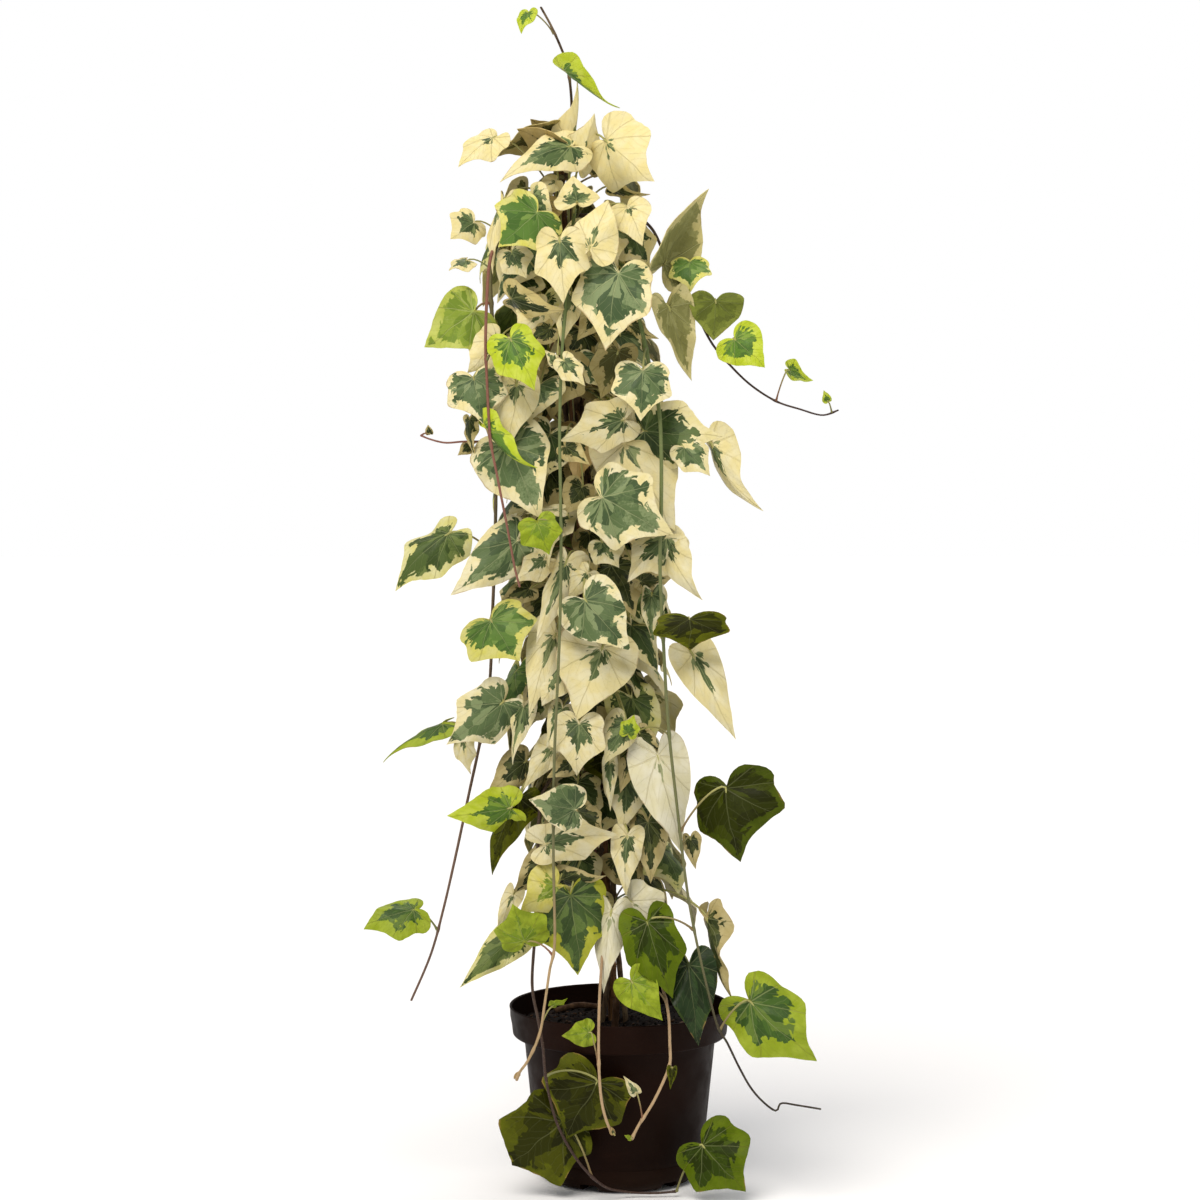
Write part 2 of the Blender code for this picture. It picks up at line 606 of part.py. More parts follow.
def make_leaf(row, routes, parts, cutters):
    name, stem, height, base, tip, width, turn, arch, fold, colour = row
    base, tip = Vector(base) * MM, Vector(tip) * MM
    length = (tip - base).length
    blade = make_blade("leaf_" + name, length, width * MM, arch, fold)
    place = blade_matrix(base, tip, turn)
    push = push_off_pot([place @ vertex.co for vertex in blade.data.vertices], BLADE_THICKNESS)
    shift = moved_out(base, push) - base
    base += shift
    blade.matrix_world = Matrix.Translation(shift) @ place
    end_along = PETIOLE_INTO_BLADE
    end = blade.matrix_world @ Vector((0.0, end_along * length, bend(0.0, end_along, arch, fold) * length))
    start = branch_start(stem, height * MM, base, PETIOLE_RADIUS, routes)
    rise = Vector((0.0, 0.0, PETIOLE_RISE * (base - start).length))
    knees = [start.lerp(base, share) + rise for share in PETIOLE_KNEES]
    behind = base - (end - base).normalized() * 2 * PETIOLE_RADIUS
    route = [*interpolate_bezier(start, *knees, behind, PETIOLE_STEPS), end]
    petiole = as_mesh(tube(name + "_petiole", route, PETIOLE_RADIUS, resolution=0), cutters)
    boolean(blade, as_cutter(petiole, cutters), "UNION")
    finish(blade, parts, colour)


def main():
    clear_scene()
    parts = new_collection("potted_ivy")
    cutters = new_collection("cutters", hidden=True)
    make_pot(parts, cutters)
    soil = make_soil(parts)
    make_stake(parts, soil, cutters)
    routes = {}
    make_climbers(parts, soil, routes, cutters)
    make_ties(parts)
    for name, (parent, thick, thin, colour, points) in HANGING_STEMS.items():
        points = millimetres(points)
        start = branch_start(parent, points[0].z, points[0], thick * MM, routes)
        route = smooth_route([start, *points])
        routes[name] = [moved_out(point, push_off_pot([point], thick * MM)) for point in route]
        finish(tube(name, routes[name], thick * MM, thin * MM), parts, colour)
    for row in [*LEAVES, *back_leaves()]:
        make_leaf(row, routes, parts, cutters)


main()
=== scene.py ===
import math
import random

import bmesh
import bpy
from mathutils import Matrix, Vector, noise
from mathutils.geometry import interpolate_bezier


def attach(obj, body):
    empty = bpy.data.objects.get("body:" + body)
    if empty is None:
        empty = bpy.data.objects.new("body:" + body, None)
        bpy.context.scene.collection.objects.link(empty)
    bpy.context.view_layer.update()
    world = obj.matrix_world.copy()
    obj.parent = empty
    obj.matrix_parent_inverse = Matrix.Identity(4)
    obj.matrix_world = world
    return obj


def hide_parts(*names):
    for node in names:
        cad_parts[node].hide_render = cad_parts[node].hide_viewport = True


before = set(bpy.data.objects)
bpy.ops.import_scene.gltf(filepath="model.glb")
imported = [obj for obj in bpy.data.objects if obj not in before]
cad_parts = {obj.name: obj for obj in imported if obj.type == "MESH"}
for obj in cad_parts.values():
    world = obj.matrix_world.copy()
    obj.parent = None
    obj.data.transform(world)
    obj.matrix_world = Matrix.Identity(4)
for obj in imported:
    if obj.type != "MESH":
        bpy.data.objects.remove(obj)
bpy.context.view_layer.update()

# Variegated ivy on a cane in a nursery pot. Sizes and places are in millimetres; mm takes them to metres.
mm = 0.001
upwards = Vector((0.0, 0.0, 1.0))
print("frame loaded,", len(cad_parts), "nodes")


# small helpers for shader nodes

def paint(code):  # "#rrggbb" as the linear colour that a shader takes
    levels = [int(code[i:i + 2], 16) / 255 for i in (1, 3, 5)]
    linear = [level / 12.92 if level <= 0.04045 else ((level + 0.055) / 1.055) ** 2.4 for level in levels]
    return (*linear, 1.0)


def addNode(tree, kind, inputs=None, **settings):
    made = tree.nodes.new("ShaderNode" + kind)
    for setting, value in settings.items():
        setattr(made, setting, value)
    for place, value in (inputs or {}).items():
        if isinstance(value, bpy.types.NodeSocket):
            tree.links.new(value, made.inputs[place])
        else:
            made.inputs[place].default_value = value
    return made


def maths(tree, operation, *values):
    return addNode(tree, "Math", dict(enumerate(values)), operation=operation).outputs[0]


def times(tree, first, second):
    return maths(tree, "MULTIPLY", first, second)


def plus(tree, first, second):
    return maths(tree, "ADD", first, second)


def minus(tree, first, second):
    return maths(tree, "SUBTRACT", first, second)


def vectorOf(tree, x, y, z):
    return addNode(tree, "CombineXYZ", {0: x, 1: y, 2: z}).outputs[0]


def axesOf(tree, vector):
    return addNode(tree, "SeparateXYZ", {0: vector}).outputs


def stored(tree, name):  # a vector kept on the mesh's points
    return addNode(tree, "Attribute", attribute_name=name).outputs["Vector"]


def objectPlace(tree, stretch=(1.0, 1.0, 1.0)):
    place = addNode(tree, "TexCoord").outputs["Object"]
    return addNode(tree, "Mapping", {"Vector": place, "Scale": stretch}).outputs[0]


def cloud(tree, vector, scale, detail=3.0, roughness=0.5):
    inputs = {"Vector": vector, "Scale": scale, "Detail": detail, "Roughness": roughness}
    return addNode(tree, "TexNoise", inputs).outputs[0]


def cells(tree, vector, scale):  # three random numbers for each cell
    return addNode(tree, "TexVoronoi", {"Vector": vector, "Scale": scale}).outputs["Color"]


def grade(tree, value, low, high, start=0.0, end=1.0):  # smooth step from start to end between low and high
    inputs = {"Value": value, "From Min": low, "From Max": high, "To Min": start, "To Max": end}
    return addNode(tree, "MapRange", inputs, interpolation_type="SMOOTHSTEP").outputs[0]


def blend(tree, share, first, second):
    return addNode(tree, "Mix", {0: share, 6: first, 7: second}, data_type="RGBA").outputs[2]


def newFinish(name, roughness, gloss=0.5):
    finish = bpy.data.materials.new(name)
    finish.use_nodes = True
    tree = finish.node_tree
    shader = tree.nodes["Principled BSDF"]
    shader.inputs["Roughness"].default_value = roughness
    shader.inputs["Specular IOR Level"].default_value = gloss
    return finish, tree, shader


def dress(tree, shader, colour, height, relief, roughness=None):  # relief is the bump's depth in metres
    bump = addNode(tree, "Bump", {"Strength": 1.0, "Distance": relief, "Height": height})
    tree.links.new(colour, shader.inputs["Base Color"])
    tree.links.new(bump.outputs[0], shader.inputs["Normal"])
    if roughness is not None:
        tree.links.new(roughness, shader.inputs["Roughness"])


# small helpers for meshes

def newPiece(name, bm, finishes, slot, *nodes):
    mesh = bpy.data.meshes.new(name)
    bm.to_mesh(mesh)
    bm.free()
    piece = bpy.data.objects.new(name, mesh)
    bpy.context.scene.collection.objects.link(piece)
    for finish in finishes:
        mesh.materials.append(finish)
    mesh.shade_smooth()
    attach(piece, "root")
    if nodes:
        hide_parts(*nodes)
    return piece


def smoothRoute(points, spacing):  # an even line of points on a smooth curve through the given ones
    points = [Vector(point) for point in points]
    curve = [points[0]]
    for i in range(len(points) - 1):
        start, end = points[i], points[i + 1]
        before, after = points[max(i - 1, 0)], points[min(i + 2, len(points) - 1)]
        curve += interpolate_bezier(start, start + (end - before) / 6, end - (after - start) / 6, end, 13)[1:]
    length = sum((b - a).length for a, b in zip(curve, curve[1:]))
    return evenly(curve, max(2, round(length / spacing)))


def evenly(curve, count):  # count + 1 points at even distances along a line
    steps = [(b - a).length for a, b in zip(curve, curve[1:])]
    total, wanted, walked, line = sum(steps), 0, 0.0, []
    for start, end, step in zip(curve, curve[1:], steps):
        while wanted < count and wanted * total / count <= walked + step:
            share = (wanted * total / count - walked) / step if step else 0.0
            line.append(start.lerp(end, share))
            wanted += 1
        walked += step
    return line + [curve[-1]]


def growTube(bm, route, radii, sides, seed=0.0, finish=0):
    # a closed tube along the route: a circle extruded from point to point, its tip drawn in to a blunt end
    stemPlace = bm.verts.layers.float_vector["stemPlace"]
    ending = (route[-1] - route[-2]).normalized() * radii[-1]
    route = [*route, route[-1] + 0.45 * ending, route[-1] + 0.7 * ending]
    radii = [*radii, 0.72 * radii[-1], 0.3 * radii[-1]]
    ring = bmesh.ops.create_circle(bm, segments=sides, radius=1.0)["verts"]
    edges = list(dict.fromkeys(edge for vert in ring for edge in vert.link_edges))  # each once, in order
    heading = (route[1] - route[0]).normalized()
    turn = upwards.rotation_difference(heading)
    place, walked, made = Matrix.Identity(4), 0.0, []
    for i, (point, radius) in enumerate(zip(route, radii)):
        if i:
            grown = bmesh.ops.extrude_edge_only(bm, edges=edges)["geom"]
            ring = [item for item in grown if isinstance(item, bmesh.types.BMVert)]
            fresh = set(ring)
            edges = [item for item in grown if isinstance(item, bmesh.types.BMEdge)]
            edges = [edge for edge in edges if fresh.issuperset(edge.verts)]
            made += [item for item in grown if isinstance(item, bmesh.types.BMFace)]
            walked += (point - route[i - 1]).length
            after = (route[min(i + 1, len(route) - 1)] - route[i - 1]).normalized()
            turn = heading.rotation_difference(after) @ turn
            heading = after
        new = Matrix.Translation(point) @ turn.to_matrix().to_4x4() @ Matrix.Scale(radius, 4)
        bmesh.ops.transform(bm, matrix=new @ place.inverted(), verts=ring)
        place = new
        for vert in ring:
            vert[stemPlace] = (walked, i / (len(route) - 1), seed)
        if i in (0, len(route) - 1):
            made += bmesh.ops.edgeloop_fill(bm, edges=edges)["faces"]
    bmesh.ops.recalc_face_normals(bm, faces=made)
    for face in made:
        face.material_index = finish
        face.smooth = True


def newTubes():  # an empty bmesh that growTube can work in
    bm = bmesh.new()
    bm.verts.layers.float_vector.new("stemPlace")
    return bm


def spunSheet(profile, steps):  # a profile of (radius, height) turned once round Z
    bm = bmesh.new()
    line = [bm.verts.new((radius, 0.0, height)) for radius, height in profile]
    for start, end in zip(line, line[1:]):
        bm.edges.new((start, end))
    bmesh.ops.spin(
        bm, geom=bm.verts[:] + bm.edges[:], cent=(0, 0, 0), axis=(0, 0, 1), angle=math.tau, steps=steps,
        use_merge=True
    )
    bmesh.ops.remove_doubles(bm, verts=bm.verts, dist=0.000001)
    bmesh.ops.recalc_face_normals(bm, faces=bm.faces)
    return bm


def arcOf(centre, radius, first, last, steps):  # points of an arc, angles in degrees
    angles = [math.radians(first + (last - first) * i / steps) for i in range(steps + 1)]
    return [(centre[0] + radius * math.cos(a), centre[1] + radius * math.sin(a)) for a in angles]


# camera, light and floor

view = {
    "stand": (-17, -2100, 569), "look": (-17, 0, 495), "lens": 73.6,
    "floorSize": 60000, "floorColour": "#FDFDFF", "floorShade": "#FBFBFE",
    "skyColour": "#FFFFFF", "skyPower": 0.33, "backdropPower": 1.0,
}
# each lamp: where it shines from, strength, how wide it is in degrees, colour
lamps = {
    "keyLamp": ((-520, -1000, 1700), 2.35, 38, "#FFF9EF"),
    "fillLamp": ((1500, -1300, 500), 0.28, 50, "#FFFFFF"),
    "backLamp": ((300, 1400, 1700), 0.8, 45, "#FFFFFF"),
}


def aimed(thing, place, target):
    thing.location = Vector(place) * mm
    thing.rotation_euler = (Vector(target) - Vector(place)).to_track_quat("-Z", "Y").to_euler()


def setStage():
    lens = bpy.data.cameras.new("camera")
    lens.lens = view["lens"]
    camera = bpy.data.objects.new("camera", lens)
    bpy.context.scene.collection.objects.link(camera)
    aimed(camera, view["stand"], view["look"])
    bpy.context.scene.camera = camera
    for name, (place, power, width, colour) in lamps.items():
        lamp = bpy.data.lights.new(name, "SUN")
        lamp.angle = math.radians(width)
        lamp.energy = power
        lamp.color = paint(colour)[:3]
        holder = bpy.data.objects.new(name, lamp)
        bpy.context.scene.collection.objects.link(holder)
        aimed(holder, place, (0, 0, 0))
    sky = bpy.data.worlds.new("softSky")
    sky.use_nodes = True
    light = sky.node_tree.nodes["Background"]
    light.inputs["Color"].default_value = paint(view["skyColour"])
    # the backdrop is paler than the light it gives
    seen = addNode(sky.node_tree, "LightPath").outputs["Is Camera Ray"]
    power = grade(sky.node_tree, seen, 0.0, 1.0, view["skyPower"], view["backdropPower"])
    sky.node_tree.links.new(power, light.inputs["Strength"])
    bpy.context.scene.world = sky
    bpy.context.scene.view_settings.view_transform = "Standard"
    bm = bmesh.new()
    bmesh.ops.create_grid(bm, x_segments=8, y_segments=8, size=view["floorSize"] * mm / 2)
    mesh = bpy.data.meshes.new("floor")
    bm.to_mesh(mesh)
    bm.free()
    floor = bpy.data.objects.new("floor", mesh)
    bpy.context.scene.collection.objects.link(floor)
    finish, tree, shader = newFinish("floorPaint", 0.75, 0.2)
    shade = cloud(tree, objectPlace(tree), 1.5, 2)
    colour = blend(tree, shade, paint(view["floorColour"]), paint(view["floorShade"]))
    tree.links.new(colour, shader.inputs["Base Color"])
    mesh.materials.append(finish)


setStage()
print("stage set")


# pot

pot = {
    "height": 147, "rim": 95, "band": 25, "draft": 3, "body": 82.5, "base": 70, "corner": 12, "wall": 1.6,
    "ringWidth": 9, "floorLift": 6, "pad": 13, "steps": 144,
    "notches": 6, "notchWidth": 16, "notchHeight": 7, "firstNotch": -113,
    "plastic": "#1E0E07", "worn": "#29160D", "dust": "#33241A",
}


def bodyRadius(height):  # outer radius of the pot's side between foot and band
    return pot["base"] + (pot["body"] - pot["base"]) * height / (pot["height"] - pot["band"])


def potReach(height):  # outer radius of the whole pot, nothing above the rim
    if height > pot["height"] + 8:
        return 0.0
    return pot["rim"] if height > pot["height"] - pot["band"] - pot["wall"] else bodyRadius(height)


def plasticFinish():
    finish, tree, shader = newFinish("pot_plastic", 0.5, 0.05)
    place = objectPlace(tree)
    scuffs = grade(tree, cloud(tree, objectPlace(tree, (1, 1, 3.5)), 34, 6, 0.62), 0.52, 0.74)
    mottle = cloud(tree, place, 9, 4)
    height = axesOf(tree, place)[2]
    low = times(tree, grade(tree, height, 0.0, 0.03, 1.0, 0.0), grade(tree, mottle, 0.35, 0.7))
    specks = grade(tree, cloud(tree, place, 420, 2), 0.66, 0.74)
    soilMarks = times(tree, specks, grade(tree, height, 0.09, 0.147))
    colour = blend(tree, grade(tree, mottle, 0.3, 0.7), paint(pot["plastic"]), paint("#150904"))
    colour = blend(tree, times(tree, scuffs, 0.15), colour, paint(pot["worn"]))
    colour = blend(tree, times(tree, low, 0.35), colour, paint(pot["dust"]))
    colour = blend(tree, times(tree, soilMarks, 0.25), colour, paint(pot["dust"]))
    rough = grade(tree, cloud(tree, place, 60, 5, 0.6), 0.3, 0.75, 0.42, 0.62)
    relief = plus(tree, cloud(tree, place, 700, 2), times(tree, scuffs, 0.4))
    dress(tree, shader, colour, relief, 0.00006, rough)
    return finish


def makePot():
    height, band, wall, corner = pot["height"], pot["band"], pot["wall"], pot["corner"]
    ledge = height - band
    bandFoot = pot["rim"] - pot["draft"]
    foot = bodyRadius(corner) - corner
    floorTop = pot["floorLift"] + wall
    innerFoot = bodyRadius(floorTop + corner) - corner - wall
    outside = [
        *arcOf((pot["rim"] - 0.9, height - 0.9), 0.9, 90, -20, 5),  # lip
        (pot["rim"] - 0.5, height - 3.2),
        (pot["rim"] - 0.7, height - 9),
        (bandFoot + 0.9, ledge + 9),
        (bandFoot + 0.3, ledge + 3.4),
        *arcOf((bandFoot - 1.7, ledge + 1.8), 1.8, 0, -84, 5),  # foot of the band
        (bodyRadius(ledge) + 1.4, ledge - 0.2),
        *arcOf((bodyRadius(ledge) + 1.5, ledge - 1.7), 1.4, 100, 178, 3),
        (bodyRadius(ledge - 9), ledge - 9),
        (bodyRadius(76), 76),
        (bodyRadius(40), 40),
        (bodyRadius(21.2), 21.2),
        (bodyRadius(20.4) - 0.5, 20.4),  # moulding line
        (bodyRadius(19.6), 19.6),
        *arcOf((bodyRadius(corner) - corner, corner), corner, 2, -88, 8),
        (foot - 2, 0.0),
        (foot - pot["ringWidth"], 0.0),
        (foot - pot["ringWidth"] - 2.4, pot["floorLift"]),
        (pot["pad"] + 3, pot["floorLift"]),
        (pot["pad"], 0.2),
        (0.0, 0.2),
    ]
    inside = [
        (0.0, floorTop),
        (innerFoot, floorTop),
        *arcOf((innerFoot, floorTop + corner), corner, -75, 0, 4),
        (bodyRadius(ledge) - wall, ledge),
        (bandFoot - wall, ledge + wall),
        (pot["rim"] - 1.9, height - 3),
        (pot["rim"] - 2.0, height - 0.9),
    ]
    bm = spunSheet([(radius * mm, z * mm) for radius, z in inside + outside], pot["steps"])
    for face in bm.faces:
        face.smooth = True
    body = newPiece("nurseryPot", bm, [plasticFinish()], "pot_plastic", "pot")
    body.data.set_sharp_from_angle(angle=math.radians(38))
    cutters = []
    for i in range(pot["notches"]):  # drainage notches in the foot ring
        bm = bmesh.new()
        reach = (foot - pot["ringWidth"] - 6, pot["base"] + corner + 4)
        deep, wide, high = reach[1] - reach[0], pot["notchWidth"], 2 * pot["notchHeight"]
        size = Matrix.Diagonal((deep * mm, wide * mm, high * mm, 1.0))
        middle = Matrix.Translation(((reach[0] + reach[1]) / 2 * mm, 0, 0))
        bmesh.ops.create_cube(bm, size=1.0, matrix=middle @ size)
        long = [edge for edge in bm.edges if abs((edge.verts[0].co - edge.verts[1].co).normalized().x) > 0.9]
        bmesh.ops.bevel(bm, geom=long, offset=2.2 * mm, affect="EDGES", segments=3, profile=0.5, material=-1)
        angle = math.radians(pot["firstNotch"] + 360 * i / pot["notches"])
        bmesh.ops.rotate(bm, verts=bm.verts, cent=(0, 0, 0), matrix=Matrix.Rotation(angle, 3, "Z"))
        mesh = bpy.data.meshes.new("notchCutter")
        bm.to_mesh(mesh)
        bm.free()
        cutter = bpy.data.objects.new("notchCutter", mesh)
        bpy.context.scene.collection.objects.link(cutter)
        cut = body.modifiers.new("notch", "BOOLEAN")
        cut.operation = "DIFFERENCE"
        cut.object = cutter
        cutters.append(cutter)
    bpy.context.view_layer.update()
    cutMesh = bpy.data.meshes.new_from_object(body.evaluated_get(bpy.context.evaluated_depsgraph_get()))
    body.modifiers.clear()
    body.data = cutMesh
    for cutter in cutters:
        bpy.data.objects.remove(cutter)


makePot()
print("pot made")


# soil

soil = {
    "drop": 16, "mound": 4, "gap": 0.6, "skirt": 9, "steps": 150, "rings": 44, "lumps": 3.4,
    "crumbs": 620, "chips": 90, "grit": 40, "seed": 4,
    "wood": (
        ((-5, -36, 126), (-4, -38, 142), (-3, -41, 158)),
        ((-56, 38, 133), (-36, 46, 136.5), (-14, 48, 134)),
        ((44, -34, 131), (52, -22, 134), (56, -6, 132)),
    ),
    "woodRadii": (3.0, 2.6, 1.7),
    "peat": "#1C120D", "damp": "#0E0806", "fibre": "#3B281B", "bark": "#3A2418", "stone": "#8C8175",
}


def soilWall(height):  # inner radius of the pot at the soil's surface
    bandFoot = pot["rim"] - pot["draft"]
    rise = (height - (pot["height"] - pot["band"])) / pot["band"]
    return bandFoot + pot["draft"] * rise - pot["wall"] - soil["gap"]


def soilTop(x, y):  # height of the soil's surface, mm
    out = math.hypot(x, y) / pot["rim"]
    height = pot["height"] - soil["drop"] + soil["mound"] * max(0.0, 1 - out * out)
    place = Vector((x, y, 3.0))
    rough = noise.fractal(place / 26, 0.9, 2.1, 3) + 0.55 * noise.fractal(place / 8, 0.8, 2.2, 4)
    rim = max(0.0, out - 0.8) * 9  # pulled down a little along the wall
    return height + soil["lumps"] * rough - rim - 1.0


def peatFinish():
    finish, tree, shader = newFinish("soil_peat", 0.95, 0.15)
    place = objectPlace(tree)
    clods = cloud(tree, place, 110, 8, 0.68)
    fibres = grade(tree, cloud(tree, objectPlace(tree, (1, 5, 3)), 260, 3), 0.6, 0.72)
    grains = axesOf(tree, cells(tree, place, 700))[0]
    colour = blend(tree, grade(tree, clods, 0.35, 0.7), paint(soil["damp"]), paint(soil["peat"]))
    colour = blend(tree, times(tree, fibres, 0.55), colour, paint(soil["fibre"]))
    colour = blend(tree, grade(tree, grains, 0.9, 0.97, 0.0, 0.5), colour, paint("#4A3526"))
    relief = plus(tree, clods, times(tree, grains, 0.2))
    dress(tree, shader, colour, relief, 0.0018)
    return finish


def barkChipFinish(name, first, second):
    finish, tree, shader = newFinish(name, 0.85, 0.2)
    streaks = cloud(tree, objectPlace(tree, (1, 1, 0.3)), 320, 5, 0.65)
    tint = axesOf(tree, cells(tree, objectPlace(tree), 120))[0]
    colour = blend(tree, grade(tree, streaks, 0.3, 0.7), paint(first), paint(second))
    colour = blend(tree, times(tree, tint, 0.5), colour, paint(first))
    dress(tree, shader, colour, streaks, 0.0005)
    return finish


def makeSoil():
    wall = soilWall(pot["height"] - soil["drop"])
    rings = soil["rings"]
    bm = spunSheet([(wall * mm * ring / rings, 0.0) for ring in range(rings + 1)], soil["steps"])
    for vert in bm.verts:
        vert.co.z = soilTop(vert.co.x / mm, vert.co.y / mm) * mm
    edge = [item for item in bm.edges if item.is_boundary]
    grown = bmesh.ops.extrude_edge_only(bm, edges=edge)["geom"]
    skirt = [item for item in grown if isinstance(item, bmesh.types.BMVert)]
    for vert in skirt:
        vert.co.z = (pot["height"] - soil["drop"] - soil["skirt"]) * mm
    bmesh.ops.edgeloop_fill(bm, edges=[item for item in bm.edges if item.is_boundary])
    bmesh.ops.recalc_face_normals(bm, faces=bm.faces)
    newPiece("pottingSoil", bm, [peatFinish()], "soil", "soil")
    chance = random.Random(soil["seed"])
    noise.seed_set(soil["seed"])  # noise_vector starts from the clock without it
    scatterBits("soilCrumbs", chance, soil["crumbs"], (0.8, 3.4), (1.0, 0.75), wall, [peatFinish()], "crumb")
    bark = barkChipFinish("soil_bark", soil["bark"], "#57402C")
    scatterBits("barkChips", chance, soil["chips"], (2.0, 5.5), (0.5, 0.3), wall, [bark], "chip")
    grit = barkChipFinish("soil_grit", soil["stone"], "#B9AFA2")
    scatterBits("gritBits", chance, soil["grit"], (0.5, 1.1), (1.0, 0.8), wall, [grit], "crumb")


def scatterBits(name, chance, count, sizes, shape, wall, finishes, kind):
    # bits lying on the soil: knocked-about balls, or thin bevelled chips
    bm = bmesh.new()
    for _ in range(count):
        size = chance.uniform(*sizes) * (0.6 + 0.4 * chance.random())
        out = (wall - size - 1) * math.sqrt(chance.random())
        angle = chance.uniform(0, math.tau)
        x, y = out * math.cos(angle), out * math.sin(angle)
        turn = Matrix.Rotation(chance.uniform(0, math.tau), 4, "Z")
        turn = turn @ Matrix.Rotation(chance.uniform(-0.6, 0.6), 4, "X")
        flat = Matrix.Diagonal((size * mm, size * shape[0] * mm, size * shape[1] * mm, 1.0))
        z = soilTop(x, y) + 0.35 * size * shape[1]
        place = Matrix.Translation((x * mm, y * mm, z * mm)) @ turn @ flat
        if kind == "chip":
            made = bmesh.ops.create_cube(bm, size=1.0, matrix=place)["verts"]
        else:
            made = bmesh.ops.create_icosphere(bm, subdivisions=1, radius=0.5, matrix=place)["verts"]
        for vert in made:
            vert.co += noise.noise_vector(vert.co * 900) * 0.16 * size * mm
    newPiece(name, bm, finishes, "soil")


def makeSoilWood():  # a cut stump and bits of old root, half sunk in the soil
    bark = barkChipFinish("soil_wood", "#3E2A1C", "#6B503A")
    bm = newTubes()
    for points, radius in zip(soil["wood"], soil["woodRadii"]):
        line = smoothRoute(points, 2.5)
        radii = [radius * mm * (1 + 0.25 * noise.noise(point / 6)) for point in line]
        growTube(bm, [point * mm for point in line], radii, 12, seed=radius)
    newPiece("soilWood", bm, [bark], "soil")


makeSoil()
makeSoilWood()
print("soil made")


# cane, climbing stems and ties

cane = {
    "foot": (3, 0, 12), "top": (-53.4, 5.8, 880), "radius": 5, "jointGap": 138, "spacing": 4, "sides": 24,
    "skin": "#7E5A38", "pale": "#A0764C", "dark": "#422A18",
}
climbers = {
    "count": 3, "radius": 2.4, "gap": 0.6, "turn": 340, "phase": 0.187, "root": 31,
    "flare": 10, "flareRise": 39,
    "tops": (840, 862, 800), "thin": (0.8, 0.4, 0.8), "spacing": 3, "sides": 12,
    "stub": ((-45, -7, 858), (-33, -12, 868), (-21, -18, 882)),
    "leader": (
        (-42, 6, 884), (-41, 2, 909), (-42, 0, 930), (-45, -2, 950), (-51, -4, 966),
        (-59, -6, 983), (-67, -8, 997),
    ),
    "rootlets": 150, "rootletRadius": 0.26,
}
ties = {"heights": (340, 580, 760), "wire": 0.7, "colour": "#2F4A26"}


def canePoint(height):
    foot, top = Vector(cane["foot"]), Vector(cane["top"])
    return foot.lerp(top, (height - foot.z) / (top.z - foot.z))


def soilLevel():
    return pot["height"] - soil["drop"]


def climberFoot():
    return soilLevel() - climbers["root"]


def climberAngle(number, height):
    return math.tau * (climbers["phase"] + number / climbers["count"] + height / climbers["turn"])


def climberOrbit():
    return cane["radius"] + climbers["gap"] + climbers["radius"]


def climberPoint(number, height):
    rise = (height - climberFoot()) / (climbers["root"] + climbers["flareRise"])
    orbit = climberOrbit() + climbers["flare"] * max(0.0, 1 - rise) ** 1.5
    angle = climberAngle(number, height)
    return canePoint(height) + orbit * Vector((math.cos(angle), math.sin(angle), 0.0))


def barkFinish(name, skin, pale, dark, grain=(1, 1, 0.16), relief=0.0007, rough=0.8):
    finish, tree, shader = newFinish(name, rough, 0.25)
    place = objectPlace(tree, grain)
    fibres = cloud(tree, place, 520, 6, 0.65)
    patches = cloud(tree, objectPlace(tree), 60, 4)
    spots = grade(tree, cloud(tree, objectPlace(tree), 900, 2), 0.62, 0.7)
    colour = blend(tree, grade(tree, fibres, 0.32, 0.66), paint(dark), paint(skin))
    colour = blend(tree, grade(tree, patches, 0.45, 0.7, 0.0, 0.75), colour, paint(pale))
    colour = blend(tree, times(tree, spots, 0.45), colour, paint(pale))
    dress(tree, shader, colour, plus(tree, fibres, times(tree, patches, 0.6)), relief)
    return finish


def makeCane():
    foot, top = Vector(cane["foot"]), Vector(cane["top"])
    count = round((top - foot).length / cane["spacing"])
    route = [foot.lerp(top, i / count) * mm for i in range(count + 1)]
    radii = []
    for i in range(count + 1):
        along = i * cane["spacing"]
        toJoint = abs((along + 40) % cane["jointGap"] - cane["jointGap"] / 2)
        swell = 0.55 * math.exp(-(toJoint / 3.2) ** 2)
        radii.append((cane["radius"] - 0.35 + swell + 0.25 * noise.noise(Vector((along / 60, 0, 1)))) * mm)
    bm = newTubes()
    growTube(bm, route, radii, cane["sides"])
    skin = barkFinish("cane_skin", cane["skin"], cane["pale"], cane["dark"])
    newPiece("supportCane", bm, [skin], "cane", "stake")


def climberRoute(number):
    top, low = climbers["tops"][number], climberFoot()
    steps = round((top - low) / 8)
    wound = [climberPoint(number, low + (top - low) * i / steps) for i in range(steps + 1)]
    ending = {0: climbers["stub"], 1: climbers["leader"]}.get(number, ())
    return smoothRoute([*wound[:-1], *ending] if ending else wound, climbers["spacing"])


